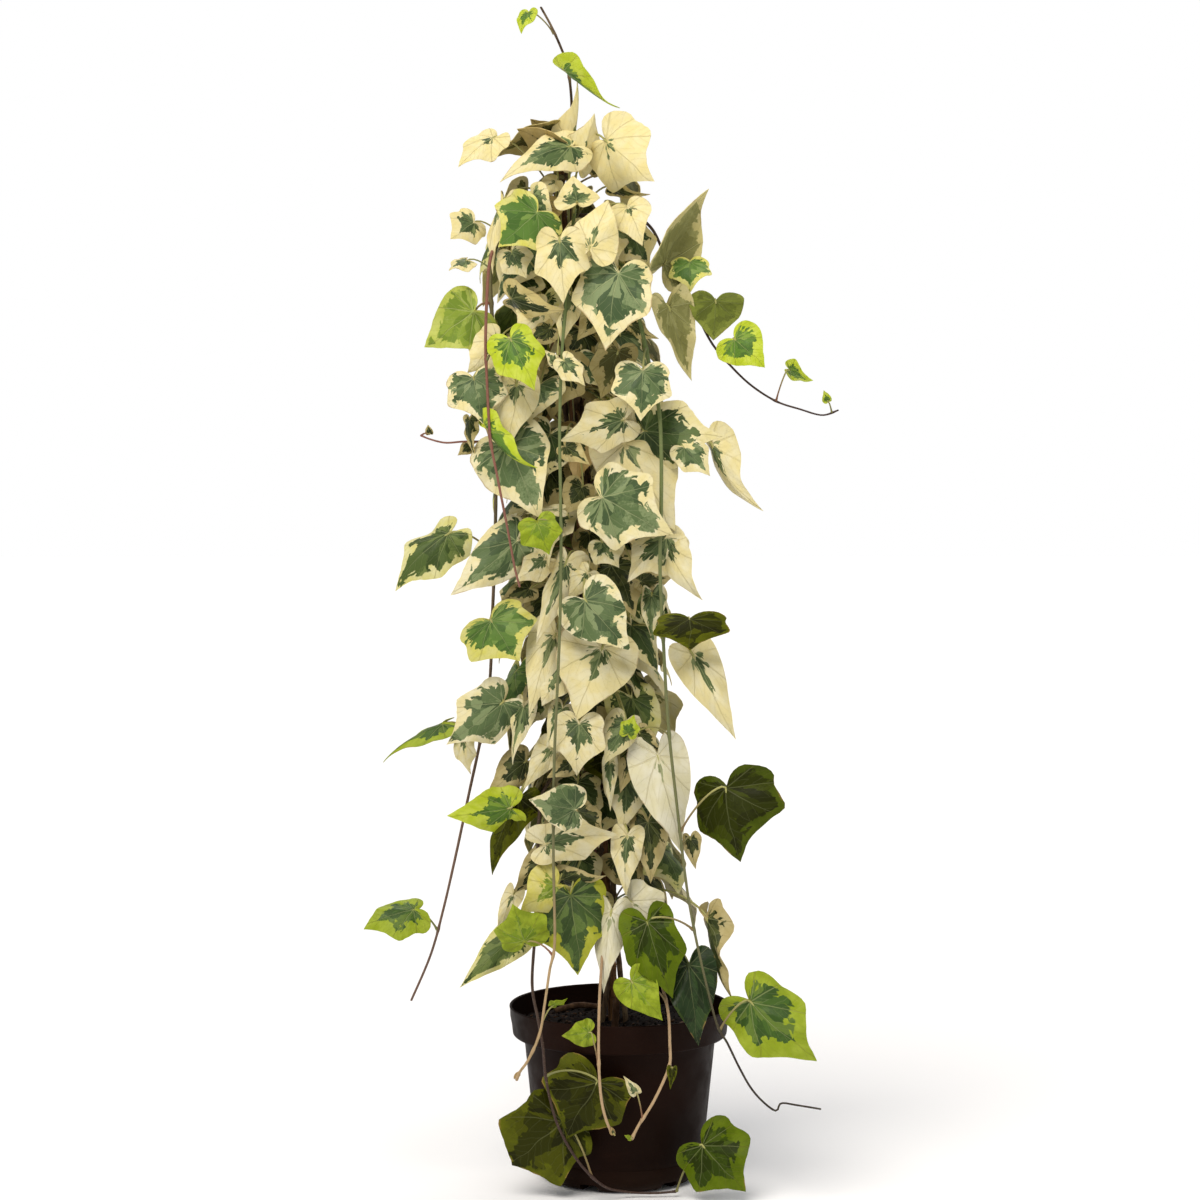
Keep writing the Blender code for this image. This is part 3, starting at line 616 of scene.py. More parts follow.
def makeClimbers(knots):
    bark = barkFinish("climber_bark", "#5E4A36", "#8A755A", "#32251A")
    for number in range(climbers["count"]):
        name = f"climbing_stem_{number + 1}"
        route = routes[name]
        last = len(route) - 1
        radii = []
        for i, point in enumerate(route):
            share = max(0.0, (i / last - 0.5) * 2)
            radius = climbers["radius"] * (1 - share * (1 - climbers["thin"][number]))
            lump = 1 + 0.09 * noise.noise(point / 9) + 0.05 * noise.noise(point / 3)
            radii.append(radius * lump * knotSwell(point, knots.get(name, ()), 0.28) * mm)
        bm = newTubes()
        growTube(bm, [point * mm for point in route], radii, climbers["sides"])
        newPiece(f"climber_{number + 1}", bm, [bark], "woody_stem", name)
    chance = random.Random(12)
    bm = newTubes()
    for _ in range(climbers["rootlets"]):  # aerial rootlets feeling towards the cane
        number = chance.randrange(climbers["count"])
        height = chance.uniform(soilLevel() + 8, climbers["tops"][number] - 20)
        start = climberPoint(number, height)
        out = (start - canePoint(height)).normalized()
        side = out.cross(upwards)
        lead = (side * chance.choice((-1, 1)) - 0.4 * out + upwards * chance.uniform(-0.6, 0.6)).normalized()
        reach = chance.uniform(4, 8)
        route = [start, start + lead * 0.5 * reach + out, start + lead * reach - 0.8 * out]
        line = smoothRoute(route, 2)
        growTube(bm, [point * mm for point in line], [climbers["rootletRadius"] * mm] * len(line), 4)
    newPiece("aerialRootlets", bm, [bark], "woody_stem")


def makeTies():
    finish, tree, shader = newFinish("tie_plastic", 0.45, 0.5)
    dots = cloud(tree, objectPlace(tree), 800, 3)
    colour = blend(tree, dots, paint(ties["colour"]), paint("#1E3019"))
    dress(tree, shader, colour, dots, 0.0002)
    direction = (Vector(cane["top"]) - Vector(cane["foot"])).normalized()
    turn = upwards.rotation_difference(direction).to_matrix().to_4x4()
    ring = climberOrbit() + climbers["radius"] + ties["wire"] + 0.3
    for number, height in enumerate(ties["heights"], 1):
        bm = newTubes()
        place = Matrix.Translation(canePoint(height)) @ turn
        route = []
        for i in range(61):  # one loop and a little more, its ends crossing in a twist
            angle = math.tau * 1.08 * i / 60
            point = Vector((ring * math.cos(angle - 1.9), ring * math.sin(angle - 1.9), 3.2 * i / 60 - 1.6))
            route.append(place @ point * mm)
        growTube(bm, route, [ties["wire"] * mm] * len(route), 8)
        for lean in (-0.5, 0.6):
            base = place @ Vector((ring * math.cos(-1.8), ring * math.sin(-1.8), lean))
            out = (base - canePoint(height)).normalized()
            middle = base + 3 * out + Vector((2 * lean, 0, 1))
            tail = [base, middle, base + 5 * out + Vector((5 * lean, 0, -2 * lean))]
            line = smoothRoute(tail, 1.2)
            growTube(bm, [point * mm for point in line], [ties["wire"] * 0.8 * mm] * len(line), 6)
        newPiece(f"plantTie_{number}", bm, [finish], "tie", f"tie_{number}")


# hanging shoots: parent, thick radius, thin radius, finish, slot, points from the parent on

shoots = {
    "left_long": ("climbing_stem_1", 1.9, 1.0, "greyShoot", "woody_stem", (
        (-61, -14, 854), (-76, -26, 837), (-95, -36, 812), (-108, -45, 774), (-106, -48, 717),
        (-104, -46, 658), (-104, -46, 600), (-105, -44, 541), (-107, -42, 491), (-110, -40, 424),
        (-118, -38, 377), (-128, -36, 331), (-139, -34, 280), (-150, -30, 233), (-161, -26, 194),
        (-178, -20, 154),
    )),
    "left_short": ("left_long", 1.4, 0.9, "redShoot", "brown_stem", (
        (-106, -62, 786), (-109, -72, 766), (-111, -78, 715), (-110, -80, 682), (-107, -86, 632),
        (-101, -90, 599), (-93, -90, 558), (-87, -88, 525), (-83, -86, 509),
    )),
    "centre": ("climber", 1.5, 1.1, "greenShoot", "green_stem", (
        (-38, -34, 823), (-41, -62, 791), (-45, -78, 739), (-48, -84, 702), (-50, -92, 640),
        (-49, -98, 574), (-49, -100, 509), (-51, -102, 444), (-54, -102, 379), (-55, -102, 330),
        (-55, -104, 281), (-54, -108, 220), (-58, -112, 197), (-62, -116, 170), (-66, -116, 146),
        (-75, -116, 125), (-83, -114, 113), (-85, -112, 107),
    )),
    "front_floor": ("climber", 1.6, 1.0, "darkShoot", "brown_stem", (
        (-62, -50, 341), (-68, -60, 313), (-69, -68, 268), (-71, -78, 220), (-73, -86, 180),
        (-68, -96, 154), (-64, -102, 134), (-62, -103, 111), (-58, -103, 89), (-52, -102, 68),
        (-42, -99, 47), (-29, -95, 28), (-13, -87, 12), (3, -80, 6), (16, -77, 4), (32, -77, 4),
        (46, -76, 5),
    )),
    "right_long": ("climber", 1.9, 0.8, "greenShoot", "green_stem", (
        (6, -40, 793), (11, -52, 750), (17, -62, 724), (24, -72, 690), (31, -82, 657), (33, -90, 624),
        (33, -96, 574), (32, -98, 525), (35, -98, 460), (39, -98, 395), (46, -98, 330), (54, -98, 264),
        (61, -100, 224), (71, -106, 180), (79, -112, 151), (87, -112, 137), (97, -108, 116),
        (107, -104, 98), (118, -100, 85), (128, -98, 78), (132, -97, 84), (145, -95, 82),
        (165, -92, 78),
    )),
    "arch_right": ("climber", 1.5, 0.7, "darkShoot", "brown_stem", (
        (17, -20, 817), (38, -30, 786), (53, -40, 759), (62, -48, 739), (75, -55, 712), (89, -60, 694),
        (107, -64, 676), (128, -68, 662), (148, -72, 655), (166, -75, 650), (179, -77, 654),
    )),
    "side_left": ("left_long", 1.0, 0.7, "redShoot", "brown_stem", (
        (-117, -50, 629), (-131, -50, 629), (-146, -52, 628), (-159, -54, 631), (-166, -55, 634),
    )),
    "dangler_mid": ("climber", 1.2, 1.2, "tanShoot", "tan_stem", (
        (-12, -60, 238), (-15, -96, 207), (-17, -106, 180), (-18, -112, 153), (-18, -114, 121),
        (-16, -113, 92), (-12, -112, 74), (-7, -110, 62),
    )),
    "dangler_right": ("climber", 1.3, 1.2, "tanShoot", "tan_stem", (
        (28, -75, 195), (35, -92, 177), (39, -104, 159), (40, -110, 136), (40, -111, 120),
        (34, -112, 104), (25, -112, 86), (15, -111, 70), (9, -110, 58),
    )),
}
# young bark at the thick end, at the thin end, and its dark streaks
shootColours = {
    "greyShoot": ("#6E6A42", "#6F5547", "#4A4032"),
    "redShoot": ("#8C5C4B", "#8A5B4C", "#5F3A30"),
    "greenShoot": ("#6F8049", "#6C6A46", "#4E5A34"),
    "darkShoot": ("#4A3A2B", "#3E2A22", "#241612"),
    "tanShoot": ("#8E7257", "#B99C76", "#6B523C"),
}
shootEnds = {"right_long": "#2E211B", "centre": "#B0946C"}  # colour of the last stretch
routes = {}


def shootFinish(name, thick, thin, dark, ending):
    finish, tree, shader = newFinish("shoot_" + name, 0.55, 0.35)
    share = axesOf(tree, stored(tree, "stemPlace"))[1]
    streaks = cloud(tree, objectPlace(tree, (1, 1, 0.12)), 620, 5, 0.6)
    flecks = grade(tree, cloud(tree, objectPlace(tree), 1100, 2), 0.63, 0.7)
    blush = cloud(tree, objectPlace(tree), 38, 3)
    colour = blend(tree, grade(tree, plus(tree, share, times(tree, blush, 0.3)), 0.15, 1.0),
                   paint(thick), paint(thin))
    if ending:
        colour = blend(tree, grade(tree, share, 0.74, 0.88), colour, paint(ending))
    colour = blend(tree, grade(tree, streaks, 0.5, 0.75, 0.0, 0.7), colour, paint(dark))
    colour = blend(tree, times(tree, flecks, 0.35), colour, paint("#B7A27C"))
    rough = grade(tree, streaks, 0.3, 0.7, 0.42, 0.66)
    dress(tree, shader, colour, plus(tree, streaks, times(tree, flecks, 0.5)), 0.0003, rough)
    return finish


def pointAt(route, height):  # the last place on a route at this height, or its point nearest to it
    for end, start in zip(route[::-1], route[-2::-1]):
        if min(start.z, end.z) <= height <= max(start.z, end.z) and start.z != end.z:
            return start.lerp(end, (height - start.z) / (end.z - start.z))
    return min(route, key=lambda point: abs(point.z - height))


def climberHold(base, height):  # the climbing stem that faces the base nearest to this height
    towards = base - canePoint(height)
    facing = math.atan2(towards.y, towards.x)
    best = None
    for number in range(climbers["count"]):
        away = (facing - climberAngle(number, height)) % math.tau
        for turn in (away, away - math.tau):
            place = height + turn / math.tau * climbers["turn"]
            if soilLevel() + 20 <= place <= climbers["tops"][number]:
                if best is None or abs(place - height) < abs(best[1] - height):
                    best = (number, place)
    return f"climbing_stem_{best[0] + 1}", climberPoint(*best)


def holdOn(stem, height, towards):
    # where a stalk leaves its stem: stem's name, a place just inside its skin, and the place on its middle
    if stem == "climber":
        stem, centre = climberHold(towards, height)
    else:
        centre = pointAt(routes[stem], height)
    radius = shoots[stem][1] if stem in shoots else climbers["radius"]
    away = towards - centre
    away.z = 0.0
    return stem, centre + away.normalized() * 0.45 * radius, centre


def offPot(point, radius):  # moved out to hang clear of the pot's side
    push = potReach(point.z) + radius + 0.3 - point.xy.length
    return point + max(0.0, push) * Vector((point.x, point.y, 0.0)).normalized()


def knotSwell(point, knots, height):  # how much thicker a stem is beside the stalks that leave it
    swell = 1.0
    for knot in knots:
        gap = (point - knot).length
        if gap < 9:
            swell += height * math.exp(-(gap / 2.6) ** 2)
    return swell


def layRoutes():
    for number in range(climbers["count"]):
        routes[f"climbing_stem_{number + 1}"] = climberRoute(number)
    for name, (parent, thick, thin, _, _, points) in shoots.items():
        _, start, _ = holdOn(parent, points[0][2], Vector(points[0]))
        routes[name] = [offPot(point, thick) for point in smoothRoute([start, *points], 2.5)]


def makeShoots(knots):
    for name, (parent, thick, thin, look, slotName, points) in shoots.items():
        route = routes[name]
        last = len(route) - 1
        radii = []
        for i, point in enumerate(route):
            radius = thick + (thin - thick) * i / last
            lump = 1 + 0.05 * noise.noise(point / 7) + 0.03 * noise.noise(point / 2.4)
            radii.append(radius * lump * knotSwell(point, knots.get(name, ()), 0.42) * mm)
        bm = newTubes()
        growTube(bm, [point * mm for point in route], radii, 10)
        finish = shootFinish(name, *shootColours[look], shootEnds.get(name))
        newPiece("shoot_" + name, bm, [finish], slotName, name)


# leaves

# half outlines of a blade one unit long, (across, along), from its tip to the notch where the stalk joins
outlines = {
    "heart": ((0, 1), (0.07, 0.89), (0.19, 0.71), (0.33, 0.51), (0.44, 0.31), (0.48, 0.08), (0.45, -0.10),
              (0.36, -0.20), (0.23, -0.24), (0.10, -0.18), (0, -0.03)),
    "lobed": ((0, 1), (0.06, 0.90), (0.16, 0.76), (0.27, 0.64), (0.38, 0.55), (0.50, 0.45), (0.48, 0.27),
              (0.44, 0.10), (0.46, -0.04), (0.39, -0.17), (0.24, -0.24), (0.10, -0.18), (0, -0.03)),
    "narrow": ((0, 1), (0.06, 0.87), (0.17, 0.69), (0.31, 0.48), (0.43, 0.26), (0.48, 0.04), (0.43, -0.13),
               (0.30, -0.20), (0.13, -0.16), (0, -0.04)),
    "broad": ((0, 1), (0.05, 0.95), (0.14, 0.89), (0.28, 0.80), (0.42, 0.74), (0.50, 0.68), (0.48, 0.55),
              (0.44, 0.38), (0.43, 0.20), (0.47, 0.02), (0.38, -0.12), (0.22, -0.20), (0.09, -0.15), (0, -0.03)),
}
blade = {
    "steps": 56, "rings": 8, "middle": 0.12, "width": 0.96, "thickness": 0.5, "ripple": 0.040, "tipDrop": 0.22,
    "quilt": 0.013, "uneven": 0.09, "roll": 0.16, "twist": 0.28, "sway": 0.08, "sharp": 52,
    # the stalk: radius, how far it runs under the blade and how low, its rise and where it bends
    "stalk": 0.85, "stalkRun": 0.055, "stalkUnder": 0.45, "stalkRise": 0.22, "stalkBends": (0.3, 0.75),
}
# each kind of leaf: slot, margin, paler margin, patch colours, reach of the patches, their jaggedness
leafLooks = {
    "cream": ("cream_leaf", "#EFE1A4", "#F3EAC0", ("#5F7044", "#465632", "#8A9562"), 0.20, 0.22),
    "creamhalf": ("cream_leaf", "#ECDEA4", "#F1E8C0", ("#586A42", "#415230", "#828F5E"), 0.42, 0.24),
    "white": ("cream_leaf", "#E6DFB8", "#EFEAD0", ("#A5AA7E", "#8B9266", "#BABD94"), 0.03, 0.10),
    # the tan kind is a shaded copy of the cream leaf: painted shade for leaves deep inside the plant
    "tan": ("cream_leaf", "#BF9F66", "#D0B47E", ("#4C5632", "#384422", "#6E7444"), 0.40, 0.24),
    "limecream": ("cream_leaf", "#DFD568", "#E5DC8C", ("#8FA436", "#728B2B", "#ACBA58"), 0.45, 0.26),
    "marbled": ("marbled_leaf", "#ECDFA4", "#F1E8C0", ("#5A6D42", "#425432", "#84925F"), 0.56, 0.24),
    "grey": ("marbled_leaf", "#EDE0A6", "#F2EAC4", ("#5F7348", "#475B38", "#869567"), 0.74, 0.24),
    # the dark kind is a shaded copy of the marbled leaf: painted shade for leaves deep inside the plant
    "dark": ("marbled_leaf", "#BFAE74", "#CEBF8A", ("#3B4522", "#2B3518", "#585F32"), 0.62, 0.24),
    "dark2": ("green_leaf", "#E4D796", "#EBE0B0", ("#41542A", "#30411F", "#5E703E"), 0.72, 0.24),
    "pale": ("marbled_leaf", "#D2CA94", "#DDD6AA", ("#7A8050", "#626B3F", "#969A68"), 0.78, 0.20),
    "shaded": ("green_leaf", "#7C8630", "#8C9440", ("#59641E", "#464F16", "#6F7A2C"), 0.84, 0.20),
    "green": ("green_leaf", "#DAD566", "#E0DB88", ("#5E8036", "#4A6B2C", "#7C984A"), 0.80, 0.22),
    "green2": ("green_leaf", "#DCD684", "#E4DFA4", ("#50642E", "#3C4F22", "#708043"), 0.70, 0.24),
    "greenlime": ("green_leaf", "#A2A628", "#B0B23C", ("#3F5628", "#2F451F", "#5D7436"), 0.76, 0.24),
    # lowgreen: partly the low leaves' own dark green, partly painted shade for the light falling off towards the
    # pot
    "lowgreen": ("green_leaf", "#566A06", "#667A10", ("#304308", "#243304", "#44570E"), 0.60, 0.22),
    "darkgreen": ("green_leaf", "#34491A", "#425823", ("#1E3619", "#152A12", "#2F4824"), 0.93, 0.10),
    "light": ("lime_leaf", "#B4BF50", "#C6CD6A", ("#8CA13A", "#768E30", "#A5B556"), 0.84, 0.18),
    "lime": ("lime_leaf", "#BBCC2A", "#CCD950", ("#5E832E", "#4A6D26", "#819F39"), 0.52, 0.26),
    "lime2": ("lime_leaf", "#96A91F", "#AABB38", ("#486828", "#385720", "#667F33"), 0.60, 0.26),
    "limeplain": ("lime_leaf", "#86991A", "#A8BA30", ("#809A1A", "#6C8718", "#9AAE30"), 0.50, 0.24),
    # olive kinds: partly the leaves' own olive green, partly painted shade for the light falling off towards the
    # pot
    "olive": ("olive_leaf", "#50550A", "#62680C", ("#2E3202", "#1F2201", "#4A4E06"), 0.74, 0.20),
    "olive2": ("olive_leaf", "#3C4A06", "#4C5A0C", ("#2A3202", "#1E2401", "#3C4605"), 0.84, 0.18),
}


def leafPattern(tree, look):
    # jagged patches that spread from the stalk along the veins, in leaf coordinates kept on the blade's points
    slotName, margin, paleMargin, patches, _, jag = look
    across, along, toEdge = axesOf(tree, stored(tree, "leafPlace"))
    reach, seed, age = axesOf(tree, stored(tree, "leafMark"))
    spread = cloud(tree, vectorOf(tree, across, along, seed), 5.0, 3)
    wide = cloud(tree, vectorOf(tree, across, along, plus(tree, seed, 3.0)), 1.7, 1)
    fine = cloud(tree, vectorOf(tree, across, along, seed), 34.0, 4, 0.6)
    angle = maths(tree, "ARCTAN2", across, along)
    square = plus(tree, times(tree, across, across), times(tree, along, along))
    out = maths(tree, "SQRT", square)
    bent = plus(tree, angle, times(tree, minus(tree, spread, 0.5), 0.55))
    flameWay = vectorOf(tree, times(tree, bent, 1.9), times(tree, out, 1.9), times(tree, seed, 9.0))
    flames = axesOf(tree, cells(tree, flameWay, 3.4))
    veinway = maths(tree, "MAXIMUM", maths(tree, "COSINE", times(tree, bent, 9.0)), 0.0)
    edge = plus(tree, toEdge, times(tree, minus(tree, flames[0], 0.5), jag))
    edge = plus(tree, edge, times(tree, minus(tree, wide, 0.5), 0.55))
    edge = minus(tree, edge, times(tree, veinway, 0.10))
    edge = plus(tree, edge, times(tree, minus(tree, fine, 0.5), 0.07))
    isMargin = grade(tree, minus(tree, edge, reach), -0.012, 0.022)
    bentMore = plus(tree, times(tree, bent, 1.1), 3.0)
    toneWay = vectorOf(tree, bentMore, times(tree, out, 1.5), times(tree, seed, 7.0))
    tones = axesOf(tree, cells(tree, toneWay, 3.0))
    shifted = plus(tree, tones[1], times(tree, minus(tree, fine, 0.5), 0.35))
    green = blend(tree, grade(tree, shifted, 0.24, 0.40), paint(patches[1]), paint(patches[0]))
    green = blend(tree, grade(tree, shifted, 0.70, 0.84), green, paint(patches[2]))
    height = axesOf(tree, objectPlace(tree))[2]
    cream = blend(tree, grade(tree, spread, 0.35, 0.68), paint(margin), paint(paleMargin))
    if slotName in ("cream_leaf", "marbled_leaf"):  # warmer near the top, where the leaves are young
        warm = times(tree, grade(tree, height, 0.45, 0.86), 0.3)
        cream = blend(tree, warm, cream, paint("#F0DC86"))
    streak = times(tree, grade(tree, fine, 0.55, 0.8), 0.25)
    cream = blend(tree, streak, cream, paint(patches[2]))
    colour = blend(tree, isMargin, green, cream)
    # five veins from the stalk, forty degrees apart, and fine branches off them
    bow = plus(tree, angle, times(tree, minus(tree, wide, 0.5), 0.25))
    offVein = maths(tree, "ABSOLUTE", maths(tree, "WRAP", bow, math.radians(20), math.radians(-20)))
    beside = times(tree, offVein, out)
    veinWidth = grade(tree, out, 0.0, 1.0, 0.013, 0.004)
    vein = minus(tree, 1.0, grade(tree, beside, times(tree, veinWidth, 0.3), veinWidth))
    branchRun = minus(tree, out, times(tree, beside, 1.5))
    branch = maths(tree, "SINE", plus(tree, times(tree, branchRun, 46.0), times(tree, spread, 6.0)))
    branch = grade(tree, branch, 0.90, 1.0)
    lines = maths(tree, "MAXIMUM", vein, times(tree, branch, 0.32))
    onGreen = blend(tree, 0.35, paint(patches[2]), paint("#DDE3A6"))
    onCream = blend(tree, 0.35, paint(margin), paint("#C9B56A"))
    lineColour = blend(tree, isMargin, onGreen, onCream)
    veinStrength = 0.22 if slotName == "olive_leaf" else 0.38 if look[0] == "green_leaf" else 0.5
    colour = blend(tree, times(tree, lines, veinStrength), colour, lineColour)
    aged = grade(tree, plus(tree, spread, times(tree, age, 0.28)), 0.74, 0.86)
    dry = times(tree, grade(tree, toEdge, 0.955, 1.0), aged)
    colour = blend(tree, times(tree, dry, 0.7), colour, paint("#A9874C"))
    # painted shade: leaves darker towards the bottom, where the light falls off
    colour = blend(tree, grade(tree, height, 0.3, 0.82, 0.2, 0.0), colour, paint("#2E2A0C"))
    bumps = minus(tree, times(tree, fine, 0.35), times(tree, lines, 0.8))
    return colour, bumps, spread


def leafFinishes(kind):
    look = leafLooks[kind]
    gloss = 0.08 if look[0] == "olive_leaf" or kind == "lowgreen" else 0.18
    face, tree, shader = newFinish("face_" + kind, 0.42, gloss)
    colour, bumps, spread = leafPattern(tree, look)
    dress(tree, shader, colour, bumps, 0.0006, grade(tree, spread, 0.3, 0.7, 0.36, 0.54))
    under, tree, shader = newFinish("under_" + kind, 0.62, 0.15)
    colour, bumps, spread = leafPattern(tree, look)
    # the back of the blade: partly the leaf's own duller back, partly painted shade that darkens the backs of
    # the cream, dark and tan leaves
    down = "#757E34"
    if kind in ("dark", "dark2", "tan"):
        down = "#6A6030"
    elif look[0] in ("cream_leaf", "marbled_leaf"):
        down = "#A09859"
    pale = blend(tree, 0.42, colour, paint(down))
    dress(tree, shader, pale, times(tree, bumps, -1.0), 0.0007)
    return [face, under]


def stalkFinish():
    finish, tree, shader = newFinish("leaf_stalk", 0.5, 0.35)
    _, share, seed = axesOf(tree, stored(tree, "stemPlace"))
    streaks = cloud(tree, objectPlace(tree), 500, 4)
    red = blend(tree, seed, paint("#7E4C3C"), paint("#77804A"))
    pale = grade(tree, plus(tree, share, times(tree, streaks, 0.3)), 0.2, 1.0)
    colour = blend(tree, pale, red, paint("#A9A763"))
    colour = blend(tree, grade(tree, streaks, 0.55, 0.75, 0.0, 0.5), colour, paint("#5B3C2A"))
    dress(tree, shader, colour, streaks, 0.0002)
    return finish


def bladeDisc():  # a round sheet of rings and spokes, which each blade is drawn out of
    rings = blade["rings"]
    bm = spunSheet([(0.0, 0.0)] + [(ring / rings, 0.0) for ring in range(1, rings + 1)], blade["steps"])
    for name in ("leafPlace", "leafMark", "stemPlace"):
        bm.verts.layers.float_vector.new(name)
    bmesh.ops.reverse_faces(bm, faces=[face for face in bm.faces if face.normal.z < 0])
    return bm


def outlineFor(shape, chance, spin):
    # the whole outline, evenly spaced, its two sides a little unlike and its margin waved
    sides, half = [], blade["steps"] // 2
    for side in (1, -1):
        grow = 1 + chance.uniform(-1, 1) * blade["uneven"]
        points = [(side * across * grow, along, 0.0) for across, along in outlines[shape]]
        sides.append(evenly(smoothRoute(points, 0.02), half))
    whole = sides[0][:-1] + sides[1][:0:-1]
    middle = Vector((0.0, blade["middle"], 0.0))
    waved = []
    for number, point in enumerate(whole):
        away = point - middle
        wave = 0.05 * noise.noise(Vector((away.x * 3, away.y * 3, spin)))
        wave += 0.02 * noise.noise(away * 11 + Vector((0, 0, spin)))
        hold = min(1.0, min(number, len(whole) - number) / 3)  # the tip keeps its place
        waved.append(middle + away * (1 + wave * hold))
    return waved


def liftOf(across, along, toEdge, bend):
    # height of the blade above its own plane: arch, fold, drooping tip, quilting between veins, waved margin
    lift = 4 * bend["arch"] * max(along, 0.0) * (1 - along)
    lift = lift - bend["fold"] * math.hypot(across, 0.02) + 0.02 * bend["fold"]
    lift -= bend["tip"] * max(0.0, along - 0.62) ** 2 + 0.5 * bend["back"] * max(0.0, -along) ** 1.5
    angle, out = math.atan2(across, along), math.hypot(across, along)
    lift += blade["quilt"] * (1 - abs(math.cos(4.5 * angle))) * min(1.0, 2.2 * out)
    theta = math.atan2(across, along - blade["middle"])
    waves, start = bend["waves"], bend["start"]
    wave = math.sin(waves * theta + start) + 0.6 * math.sin((waves + 2) * theta - 2 * start)
    roll = bend["roll"] * (abs(across) / 0.48) ** 3  # margins curled back
    return lift + bend["ripple"] * toEdge ** 2.2 * wave - roll + bend["twist"] * across * along


def bladeFrame(base, tip, turn):  # Y from base to tip, Z out of the face; turn 0 faces the front
    along = (tip - base).normalized()
    front = Vector((0.0, -1.0, 0.0))
    normal = (front - front.dot(along) * along).normalized()
    normal.rotate(Matrix.Rotation(math.radians(turn), 3, along))
    return Matrix.Translation(base) @ Matrix((along.cross(normal), along, normal)).transposed().to_4x4()


